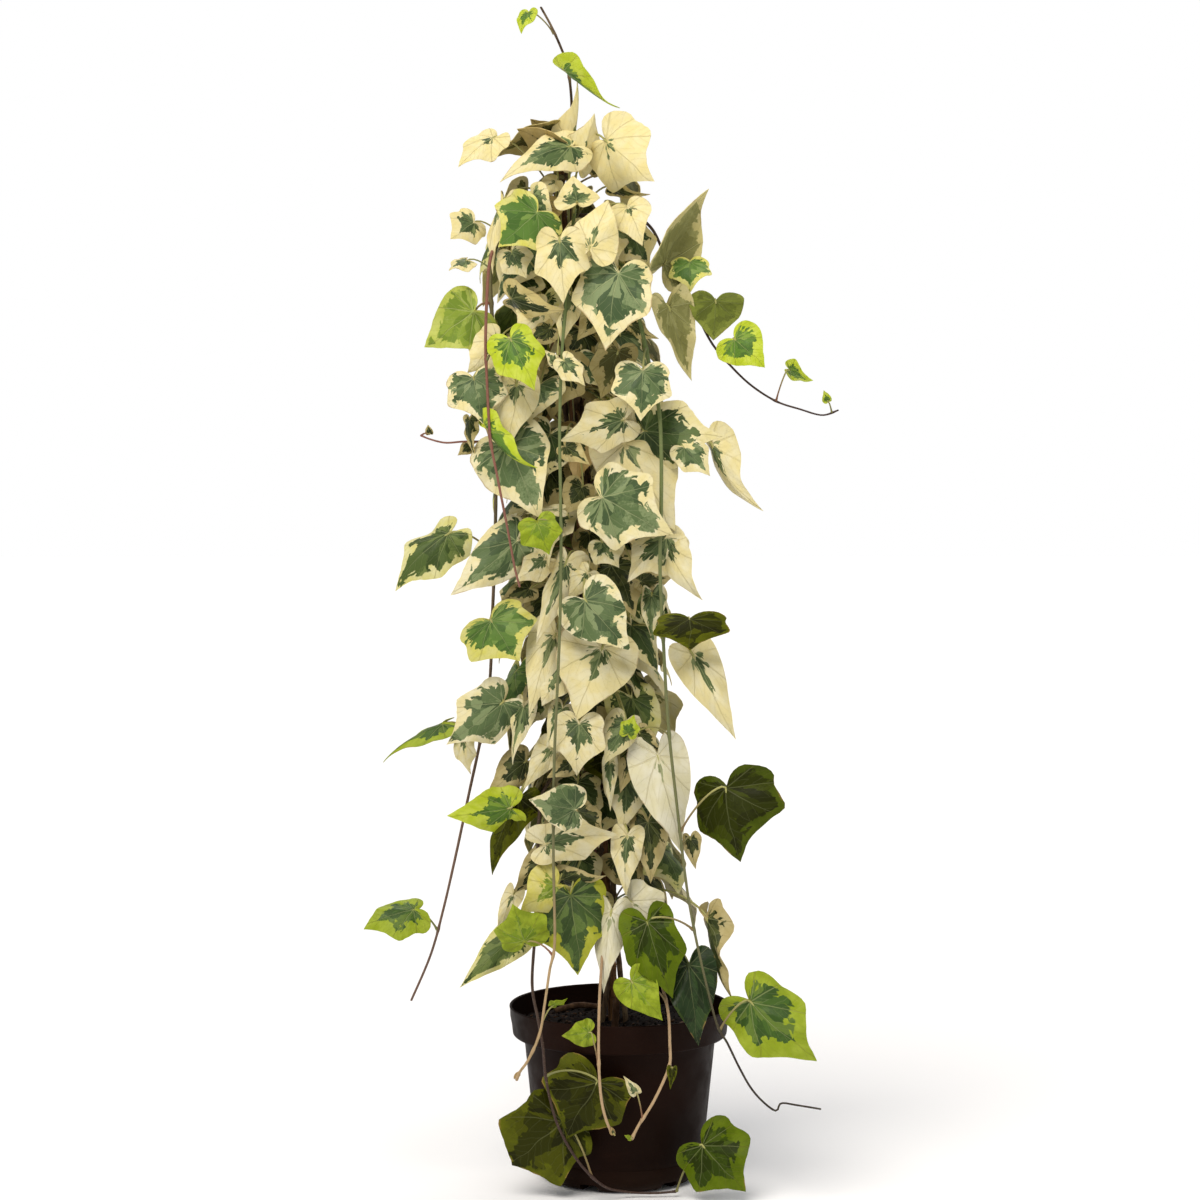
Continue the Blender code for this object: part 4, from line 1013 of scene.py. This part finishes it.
# name, height on the stem, blade's base, its tip, width, turn, arch, fold, kind
leavesOn = {
    "climbing_stem_2": (
        ("leader_left", 975, (-78, -8, 992), (-83, -16, 973), 19, 35, 0.1, 0.1, "lime"),
        ("leader_right", 939, (-47, -22, 942), (1, -24, 911), 32, 78, 0.05, 0.1, "lime"),
        ("crown_right", 880, (-12, -38, 880), (28, -60, 843), 58, 22, 0.1, 0.25, "cream"),
    ),
    "climber": (
        ("crown_upright", 852, (-43, -14, 870), (-33, -18, 935), 30, 42, 0.05, 0.5, "cream"),
        ("crown_yellow", 847, (-35, -26, 862), (-22, -36, 903), 30, 15, 0.05, 0.5, "cream"),
        ("crown_front_left", 862, (-42, -34, 876), (-102, -54, 846), 42, 22, 0.12, 0.2, "marbled"),
        ("crown_back_left", 868, (-49, 8, 880), (-78, 4, 903), 40, 165, 0.1, 0.2, "tan"),
        ("crown_under_left", 874, (-60, -8, 890), (-106, -18, 868), 34, 135, 0.1, 0.2, "dark"),
        ("crown_behind", 866, (-46, 10, 872), (-44, 14, 908), 40, 172, 0.1, 0.2, "dark"),
        ("crown_over_left", 860, (-56, -20, 874), (-86, -30, 893), 34, 150, 0.1, 0.3, "tan"),
        ("crown_dark_right", 862, (-27, 8, 869), (-6, 14, 863), 22, 35, 0.1, 0.1, "dark"),
        ("crown_fan", 828, (-36, -66, 826), (-40, -42, 850), 38, 0, -0.05, 0, "marbled"),
        ("crown_small_cream", 842, (-54, -36, 847), (-69, -50, 834), 18, 0, 0.1, 0.1, "cream"),
        ("green_upper_left", 827, (-69, -74, 816), (-98, -86, 785), 56, 0, 0.08, 0.05, "green"),
        ("cream_upper_left", 837, (-98, -54, 827), (-108, -62, 768), 27, 40, 0.1, 0.3, "cream"),
        ("behind_green", 832, (-72, -58, 833), (-54, -66, 808), 22, 30, 0.1, 0.1, "marbled"),
        ("cream_upper_front", 794, (-25, -88, 785), (-12, -70, 828), 43, 0, 0.08, 0.15, "cream"),
        ("cream_upper_right", 828, (6, -60, 822), (19, -76, 790), 36, 0, 0.15, 0.1, "cream"),
        ("marbled_upper_right", 807, (8, -50, 802), (26, -58, 773), 35, 0, 0.1, 0.1, "marbled"),
        ("dark_upper_right", 839, (-7, -22, 844), (24, -36, 836), 20, 45, 0.1, 0.1, "dark"),
        ("heart_upper", 792, (-50, -92, 791), (-46, -100, 740), 44, 0, 0.08, 0.1, "creamhalf"),
        ("big_upper_centre", 769, (-2, -84, 765), (-12, -98, 702), 64, 0, 0.08, 0.05, "grey"),
        ("dark_mid_left", 752, (-90, -62, 747), (-46, -80, 733), 30, 38, 0.1, 0.1, "dark"),
        ("under_green_left", 786, (-90, -62, 785), (-78, -70, 762), 27, 0, 0.1, 0.1, "marbled"),
        ("cream_left_mid", 714, (-101, -62, 713), (-125, -66, 684), 38, 0, 0.1, 0.1, "cream"),
        ("green_left_mid", 684, (-121, -72, 680), (-113, -80, 642), 48, 0, 0.08, 0.1, "grey"),
        ("cream_left_long", 680, (-86, -66, 676), (-90, -76, 624), 38, 0, 0.1, 0.1, "cream"),
        ("cream_mid", 741, (-63, -58, 739), (-89, -66, 711), 32, 0, 0.1, 0.1, "cream"),
        ("dark_mid_small", 722, (-59, -62, 722), (-80, -68, 709), 20, 0, 0.1, 0.1, "dark"),
        ("folded_cream", 753, (-41, -68, 750), (-48, -80, 708), 23, 30, 0.1, 0.4, "creamhalf"),
        ("small_centre", 698, (-46, -98, 693), (-30, -106, 672), 20, 0, 0.05, 0.1, "marbled"),
        ("tiny_centre", 695, (-53, -92, 692), (-62, -96, 702), 11, 0, 0.05, 0.1, "marbled"),
        ("inner_dark", 740, (-17, -50, 738), (-35, -56, 712), 27, 0, 0.1, 0.1, "dark"),
        ("olive_back", 702, (-2, -50, 704), (-15, -60, 664), 35, 180, 0.1, 0.1, "dark"),
        ("dark_small_right", 731, (10, -52, 726), (31, -58, 714), 20, 40, 0.1, 0.1, "dark"),
        ("right_hanging", 739, (40, -60, 740), (64, -66, 681), 36, 165, 0.1, 0.4, "pale"),
        ("right_big_dark", 638, (20, -66, 637), (82, -84, 630), 56, 0, 0.1, 0.1, "dark2"),
        ("right_small_grey", 625, (52, -86, 623), (74, -94, 601), 28, 0, 0.08, 0.1, "grey"),
        ("far_right", 634, (76, -50, 627), (116, -60, 570), 32, 35, 0.15, 0.4, "cream"),
        ("centre_folded", 650, (2, -74, 646), (-50, -84, 630), 40, 0, 0.1, 0.2, "creamhalf"),
        ("small_mid", 627, (-45, -76, 624), (-25, -84, 610), 21, 0, 0.1, 0.1, "dark"),
        ("big_left_centre", 627, (-94, -72, 626), (-61, -90, 568), 66, 0, 0.05, 0.05, "grey"),
        ("cream_right_big", 628, (3, -64, 627), (46, -80, 556), 69, 0, 0.08, 0.05, "cream"),
        ("front_right_big", 583, (-15, -90, 582), (41, -110, 552), 62, 0, 0.06, 0.05, "grey"),
        ("tiny_left", 579, (-70, -66, 577), (-85, -68, 575), 12, 0, 0.1, 0.1, "marbled"),
        ("cream_sliver", 571, (-50, -70, 572), (-78, -74, 568), 12, 20, 0.1, 0.1, "cream"),
        ("inner_mid", 592, (-32, -56, 591), (-46, -62, 568), 27, 0, 0.1, 0.1, "dark"),
        ("centre_marbled", 545, (-15, -72, 545), (-2, -80, 524), 30, 0, 0.1, 0.1, "marbled"),
        ("right_cream_fold", 550, (38, -80, 549), (5, -88, 514), 36, 25, 0.1, 0.3, "creamhalf"),
        ("right_cream_curl", 541, (39, -76, 545), (68, -82, 498), 31, 15, 0.3, 0.2, "cream"),
        ("dark_right_mid", 512, (17, -60, 513), (48, -66, 519), 23, 20, 0.1, 0.1, "dark"),
        ("marbled_left_mid", 533, (-63, -64, 531), (-87, -72, 512), 25, 0, 0.1, 0.1, "creamhalf"),
        ("dark_left_mid", 505, (-76, -50, 506), (-99, -54, 495), 22, 20, 0.1, 0.1, "dark"),
        ("cream_stripe", 529, (-45, -78, 528), (-65, -88, 461), 30, 15, 0.08, 0.3, "creamhalf"),
        ("tan_mid", 520, (-27, -74, 520), (-43, -82, 499), 23, 0, 0.1, 0.1, "cream"),
        ("centre_grey", 498, (-29, -94, 498), (5, -108, 456), 55, 0, 0.06, 0.05, "grey"),
        ("right_cream_drop", 491, (59, -90, 454), (96, -98, 385), 41, 0, 0.12, 0.15, "cream"),
        ("grey_narrow", 501, (26, -66, 502), (27, -74, 461), 22, 20, 0.1, 0.1, "grey"),
        ("cream_big_centre", 457, (-15, -82, 459), (-33, -92, 399), 69, 0, 0.06, 0.05, "cream"),
        ("cream_left_lower", 469, (-54, -64, 469), (-81, -76, 403), 40, 0, 0.1, 0.1, "cream"),
        ("tan_stripe", 440, (-49, -72, 441), (-66, -80, 411), 33, 0, 0.1, 0.2, "creamhalf"),
        ("long_marbled", 406, (-80, -66, 409), (-88, -74, 361), 22, 20, 0.1, 0.2, "marbled"),
        ("heart_lower", 395, (-34, -92, 397), (-37, -100, 355), 42, 0, 0.06, 0.1, "creamhalf"),
        ("cream_dark_mid", 405, (-48, -74, 408), (-62, -82, 377), 21, 0, 0.1, 0.1, "marbled"),
        ("yellow_edge", 394, (4, -78, 397), (-11, -86, 362), 30, 0, 0.1, 0.2, "marbled"),
        ("lime_tiny", 384, (6, -86, 388), (11, -90, 404), 16, 0, 0.1, 0.1, "lime"),
        ("narrow_low", 359, (-9, -72, 362), (-9, -78, 323), 13, 0, 0.1, 0.1, "marbled"),
        ("dark_marbled_low", 374, (13, -60, 377), (-2, -68, 338), 27, 0, 0.1, 0.1, "dark"),
        ("white_right", 365, (31, -80, 369), (46, -90, 291), 51, 0, 0.08, 0.1, "white"),
        ("dark_left_low", 358, (-80, -50, 361), (-111, -58, 337), 30, 0, 0.1, 0.1, "dark"),
        ("cream_low_left", 371, (-57, -64, 374), (-82, -72, 341), 25, 0, 0.1, 0.1, "cream"),
        ("dark_low_mid", 360, (-40, -66, 363), (-60, -72, 349), 22, 0, 0.1, 0.1, "dark"),
        ("left_lime_low", 320, (-92, -66, 324), (-143, -76, 317), 36, 0, 0.06, 0.1, "lime"),
        ("olive_curl", 330, (-85, -54, 331), (-109, -62, 268), 32, 20, 0.15, 0.2, "olive"),
        ("dark_low_right_in", 317, (-35, -64, 321), (-12, -72, 299), 23, 0, 0.1, 0.1, "dark"),
        ("boat_curl", 291, (-62, -80, 296), (-3, -92, 308), 39, 0, -0.2, -0.3, "creamhalf"),
        ("tan_dark", 297, (6, -76, 302), (1, -84, 253), 28, 10, 0.1, 0.2, "creamhalf"),
        ("dark_round", 308, (23, -62, 312), (28, -70, 262), 33, 0, 0.1, 0.1, "dark"),
        ("dark_grey_left", 274, (-63, -54, 278), (-90, -62, 251), 27, 0, 0.1, 0.1, "dark"),
        ("marbled_low", 262, (-48, -74, 266), (-12, -82, 270), 20, 20, 0.1, 0.1, "dark"),
        ("yellow_left", 256, (-53, -82, 262), (-83, -92, 242), 43, 0, 0.1, 0.05, "limecream"),
        ("left_marbled_low", 213, (-87, -70, 219), (-132, -80, 175), 35, 10, 0.1, 0.1, "green2"),
        ("tan_sliver", 246, (-89, -62, 252), (-103, -68, 217), 18, 10, 0.1, 0.1, "cream"),
        ("big_green_low", 249, (-41, -86, 254), (-33, -100, 191), 62, 0, 0.06, 0.05, "greenlime"),
        ("white_fold", 236, (-8, -92, 241), (-15, -102, 176), 31, 15, 0.06, 0.3, "white"),
        ("white_heart", 242, (8, -78, 248), (44, -86, 225), 39, 0, 0.1, 0.1, "white"),
        ("dark_low_right", 207, (56, -90, 197), (59, -104, 133), 47, 0, 0.08, 0.1, "darkgreen"),
        ("edge_right_low", 247, (72, -74, 233), (91, -84, 167), 30, 58, 0.06, 0.2, "dark"),
    ),
    "climbing_stem_1": (
        ("crown_left", 838, (-107, -22, 885), (-134, -36, 857), 37, 38, 0.08, 0.1, "cream"),
    ),
    "left_long": (
        ("left_small_upper", 802, (-122, -48, 811), (-140, -56, 796), 32, 0, 0.08, 0.1, "marbled"),
        ("left_small_lower", 773, (-128, -50, 779), (-142, -58, 769), 22, 45, 0.08, 0.1, "marbled"),
        ("left_light_green", 744, (-122, -58, 736), (-161, -66, 706), 55, 0, 0.06, 0.05, "light"),
        ("olive_small", 642, (-110, -60, 643), (-93, -66, 651), 18, 20, 0.1, 0.1, "lime"),
        ("left_hanging", 534, (-144, -46, 552), (-191, -54, 508), 44, 34, 0.08, 0.2, "green2"),
        ("left_marbled", 541, (-86, -68, 546), (-137, -78, 498), 45, 0, 0.06, 0.05, "grey"),
        ("left_yellow", 482, (-107, -68, 480), (-85, -80, 446), 64, 0, 0.05, 0.05, "green"),
        ("left_grey", 415, (-98, -66, 412), (-142, -76, 375), 45, 0, 0.06, 0.05, "grey"),
        ("cream_under_left", 378, (-132, -50, 380), (-125, -54, 351), 20, 20, 0.1, 0.1, "cream"),
        ("left_edge_lime", 380, (-149, -46, 392), (-198, -52, 360), 30, 62, 0.08, 0.2, "lime2"),
        ("far_left", 216, (-175, -32, 233), (-217, -40, 220), 40, 48, 0.08, 0.15, "lime2"),
        ("left_dark_narrow", 651, (-125, -58, 647), (-120, -64, 617), 17, 35, 0.1, 0.2, "dark"),
        ("left_dark_small", 626, (-126, -48, 625), (-135, -52, 617), 12, 0, 0.1, 0.1, "dark"),
    ),
    "arch_right": (
        ("pale_underside", 786, (37, -44, 777), (77, -40, 838), 46, 205, 0.14, 0.45, "pale"),
        ("arch_small", 758, (58, -48, 778), (58, -60, 753), 32, 0, 0.1, 0.1, "green"),
        ("arch_heart", 731, (79, -60, 745), (79, -66, 712), 48, 175, 0.08, 0.1, "shaded"),
        ("arch_lime", 696, (94, -76, 712), (118, -86, 689), 41, 0, 0.08, 0.1, "lime"),
        ("arch_edge", 662, (139, -80, 687), (157, -86, 677), 23, 58, 0.05, 0.1, "lime"),
        ("arch_tip", 652, (170, -79, 662), (166, -81, 670), 7, 0, 0.05, 0.1, "lime"),
    ),
    "left_short": (
        ("lime_left_mid", 695, (-90, -88, 711), (-69, -98, 670), 43, 0, 0.1, 0.1, "lime"),
        ("lime_edge", 625, (-111, -80, 640), (-68, -96, 605), 25, 58, 0.1, 0.2, "lime"),
    ),
    "right_long": (
        ("right_grey", 705, (18, -88, 685), (16, -98, 645), 46, 0, 0.08, 0.1, "grey"),
        ("right_olive", 468, (56, -106, 483), (57, -112, 458), 57, 0, 0.1, 0.1, "olive"),
        ("dark_small_low", 388, (16, -72, 387), (35, -78, 372), 17, 20, 0.1, 0.1, "dark"),
        ("right_big_green", 309, (86, -98, 344), (101, -108, 286), 77, 24, 0.1, 0.35, "olive2"),
        ("dark_narrow_right", 296, (58, -80, 300), (63, -84, 276), 16, 20, 0.1, 0.1, "dark"),
        ("green_lime_low", 228, (22, -98, 234), (39, -108, 172), 49, 0, 0.08, 0.05, "lowgreen"),
        ("right_low_lime", 148, (107, -92, 167), (157, -100, 115), 57, 0, 0.1, 0.08, "lime2"),
    ),
    "centre": (
        ("lime_small", 558, (-68, -100, 562), (-59, -106, 535), 33, 0, 0.08, 0.05, "limeplain"),
        ("centre_low", 314, (-38, -108, 328), (-75, -116, 336), 39, 0, 0.06, 0.05, "grey"),
        ("lime_left_low", 209, (-79, -106, 220), (-88, -114, 252), 44, 0, 0.08, 0.05, "limeplain"),
        ("rim_tiny", 132, (-55, -106, 167), (-44, -110, 173), 11, 50, 0.05, 0.1, "limeplain"),
        ("end_bud_centre", 109, (-85, -112, 109), (-82, -114, 116), 5, 30, 0.05, 0.3, "tan"),
    ),
    "dangler_right": (
        ("lime_low_right", 170, (9, -110, 187), (34, -118, 157), 36, 0, 0.08, 0.05, "limeplain"),
        ("bud_cream", 75, (12, -117, 98), (3, -119, 112), 10, 0, 0.05, 0.1, "marbled"),
        ("bud_olive", 117, (42, -114, 116), (41, -116, 100), 8, 0, 0.05, 0.1, "olive"),
        ("end_bud_right", 59, (8, -112, 59), (3, -114, 62), 4, 30, 0.05, 0.3, "limeplain"),
    ),
    "front_floor": (
        ("pot_left", 21, (-48, -84, 66), (-90, -82, 28), 74, 0, 0.03, 0, "olive"),
        ("pot_front", 108, (-19, -93, 101), (-45, -90, 54), 70, 0, 0.03, 0.05, "olive"),
        ("floor_right", 5, (68, -86, 46), (103, -96, 10), 60, 0, 0.06, 0.05, "lowgreen"),
    ),
    "dangler_mid": (
        ("pot_small_heart", 121, (-26, -116, 147), (-48, -120, 145), 24, 0, 0.05, 0.05, "limeplain"),
        ("end_bud_mid", 63, (-6, -112, 63), (-8, -114, 69), 4, 20, 0.05, 0.3, "tan"),
    ),
    "side_left": (
        ("shoot_tiny", 634, (-159, -54, 636), (-160, -56, 643), 7, 0, 0.05, 0.1, "dark"),
    ),
}
leafShapes = {  # leaves that name their outline; the others follow from their proportions
    "big_upper_centre": "lobed", "green_upper_left": "lobed", "right_big_dark": "lobed",
    "front_right_big": "lobed", "left_yellow": "lobed", "big_green_low": "lobed",
    "green_lime_low": "lobed", "right_grey": "lobed", "arch_small": "lobed",
    "right_small_grey": "lobed", "lime_left_mid": "lobed", "lime_small": "lobed", "pot_left": "broad",
    "pot_front": "lobed", "right_big_green": "lobed", "far_left": "lobed", "floor_right": "lobed",
    "right_low_lime": "lobed", "centre_grey": "heart", "leader_right": "narrow", "crown_right": "lobed",
    "lime_left_low": "lobed", "left_light_green": "heart",
}
# behind, between and at the flanks: leaves placed by rule, with their reach from the cane and blade length
fillers = {
    "back": {
        "count": 62, "low": 236, "high": 856, "from": -12, "to": 192, "reach": (46, 66), "length": (44, 64),
        "kinds": ("cream", "marbled", "grey", "creamhalf", "green", "grey", "dark2", "marbled"), "seed": 21,
    },
    "inner": {
        "count": 58, "low": 225, "high": 842, "from": 0, "to": 360, "reach": (20, 36), "length": (34, 50),
        # the inner leaves mostly take the dark and tan kinds: painted shade for the inside of the plant
        "kinds": ("dark", "dark2", "dark", "olive", "tan", "dark"), "seed": 8,
    },
    "right_flank": {
        "count": 26, "low": 240, "high": 815, "from": -66, "to": -14, "reach": (36, 58), "length": (38, 54),
        "kinds": ("dark2", "marbled", "dark", "grey", "green2"), "seed": 34,
    },
    "left_flank": {
        "count": 26, "low": 240, "high": 815, "from": 194, "to": 246, "reach": (36, 58), "length": (38, 54),
        "kinds": ("dark2", "marbled", "dark", "grey", "green2"), "seed": 35,
    },
}
backRows = (  # the leaves on the back that have a solid of their own: height, direction, kind
    (800, 68, "cream"), (735, 125, "marbled"), (670, 50, "cream"), (600, 105, "marbled"),
    (530, 60, "green"), (455, 130, "creamhalf"), (375, 80, "marbled"), (290, 115, "green"),
)
backSize = {"reach": 58, "fall": 54, "lean": 14, "width": 58, "arch": 0.08, "fold": 0.1}

finishes = {}
knots = {}


def makeLeaf(disc, name, stem, height, base, tip, width, turn, arch, fold, kind):
    if kind not in finishes:
        finishes[kind] = leafFinishes(kind)
    seed = sum(ord(letter) * (place + 3) for place, letter in enumerate(name)) % 9973
    chance = random.Random(seed)
    base, tip = Vector(base), Vector(tip)
    length = (tip - base).length
    slim = width / length
    shape = leafShapes.get(name)
    if not shape:
        shape = "narrow" if slim < 0.62 else "lobed" if chance.random() < 0.35 else "heart"
    spin = chance.uniform(0, 9)
    outline = outlineFor(shape, chance, spin)
    bend = {
        "arch": arch, "fold": fold + 0.05, "tip": blade["tipDrop"] * chance.uniform(0.2, 1.8),
        "back": chance.uniform(0.0, 0.5), "waves": chance.choice((3, 4, 5)), "start": chance.uniform(0, 6),
        "ripple": blade["ripple"] * chance.uniform(0.5, 1.6), "roll": blade["roll"] * chance.random() ** 2,
        "twist": chance.uniform(-blade["twist"], blade["twist"]),
    }
    sway = chance.uniform(-blade["sway"], blade["sway"])
    reach = leafLooks[kind][4] + chance.uniform(-0.07, 0.07)
    mark = Vector((reach, spin, chance.random()))
    bm = disc.copy()
    layers = bm.verts.layers.float_vector
    leafPlace, leafMark = layers["leafPlace"], layers["leafMark"]
    place = bladeFrame(base, tip, turn)
    middle = Vector((0.0, blade["middle"], 0.0))
    steps = blade["steps"]
    step = math.tau / steps
    for vert in bm.verts:
        toEdge = vert.co.length
        number = round(math.atan2(vert.co.y, vert.co.x) / step) % steps
        point = middle.lerp(outline[number], toEdge)
        across, along = point.x, point.y
        vert[leafPlace] = (across, along, toEdge)
        vert[leafMark] = mark
        lift = liftOf(across, along, toEdge, bend)
        side = across * width / blade["width"] + sway * length * max(0.0, along) ** 2
        vert.co = place @ Vector((side, along * length, lift * length))
    push = max(0.0, max(potReach(vert.co.z) + 0.8 - vert.co.xy.length for vert in bm.verts))
    shift = push * Vector((base.x, base.y, 0.0)).normalized()
    sink = min(0.0, min(vert.co.z for vert in bm.verts) - 0.6)  # a blade lying on the floor stays on it
    shift.z -= sink
    bmesh.ops.transform(bm, matrix=Matrix.Scale(mm, 4) @ Matrix.Translation(shift), verts=bm.verts)
    bm.normal_update()
    lower = set(bm.faces)  # solidify raises a new face over each of these
    bmesh.ops.solidify(bm, geom=bm.faces[:], thickness=blade["thickness"] * mm)
    for face in bm.faces:
        face.material_index = 1 if face in lower else 0
        face.smooth = True
    base = base + shift
    stemName, start, centre = holdOn(stem, height, base)
    knots.setdefault(stemName, []).append(centre)
    run = blade["stalkRun"]
    under = liftOf(0.0, run, 0.1, bend) * length - blade["stalkUnder"]
    end = Matrix.Translation(shift) @ place @ Vector((0.0, run * length, under))
    gap = (base - start).length
    rise = upwards * blade["stalkRise"] * gap
    behind = base - (end - base).normalized() * 2
    bends = [start.lerp(base, share) + rise for share in blade["stalkBends"]]
    arc = interpolate_bezier(start, *bends, behind, 24) + [end]
    line = evenly(arc, max(5, round(gap / 3.5)))
    stalk = blade["stalk"] * min(1.0, 0.55 + length / 110)
    radii = []
    for i in range(len(line)):
        along = i / (len(line) - 1)
        radii.append(stalk * mm * (1 + 0.8 * math.exp(-along * gap / 2.2) + 0.15 * along * along))
    growTube(bm, [point * mm for point in line], radii, 7, seed=chance.random(), finish=2)
    node = "leaf_" + name
    replaced = [node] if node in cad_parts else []
    leaf = newPiece("ivy_" + name, bm, [*finishes[kind], finishes["stalk"]], leafLooks[kind][0], *replaced)
    leaf.data.set_sharp_from_angle(angle=math.radians(blade["sharp"]))


def makeLeaves():
    finishes["stalk"] = stalkFinish()
    disc = bladeDisc()
    for stem, rows in leavesOn.items():
        for row in rows:
            makeLeaf(disc, row[0], stem, *row[1:])
    for number, (height, direction, kind) in enumerate(backRows, 1):
        out = Vector((math.cos(math.radians(direction)), math.sin(math.radians(direction)), 0.0))
        base = canePoint(height) + backSize["reach"] * out
        tip = base + backSize["lean"] * out - backSize["fall"] * upwards
        makeLeaf(disc, f"back_{number}", "climber", height, base, tip, backSize["width"], -90 - direction,
                 backSize["arch"], backSize["fold"], kind)
    for group, rule in fillers.items():
        chance = random.Random(rule["seed"])
        for number in range(rule["count"]):
            down = (number + 0.4 * chance.random()) / rule["count"]
            height = rule["high"] - (rule["high"] - rule["low"]) * down
            share = (number * 0.618034 + 0.1 * chance.random()) % 1.0
            direction = rule["from"] + (rule["to"] - rule["from"]) * share
            out = Vector((math.cos(math.radians(direction)), math.sin(math.radians(direction)), 0.0))
            base = canePoint(height) + chance.uniform(*rule["reach"]) * out
            length = chance.uniform(*rule["length"])
            lean = chance.uniform(0.1, 0.75)
            drift = out.cross(upwards) * chance.uniform(-0.5, 0.5)
            tip = base + length * (lean * out + drift - upwards).normalized()
            width = length * chance.uniform(0.75, 1.05)
            kind = chance.choice(rule["kinds"])
            turn = -90 - direction + chance.uniform(-24, 24)
            makeLeaf(disc, f"{group}_leaf_{number + 1}", "climber", height, base, tip, width, turn,
                     chance.uniform(0.05, 0.14), chance.uniform(0.02, 0.25), kind)
        print(group, "leaves made")
    disc.free()


layRoutes()
makeLeaves()
makeShoots(knots)
makeClimbers(knots)
makeCane()
makeTies()
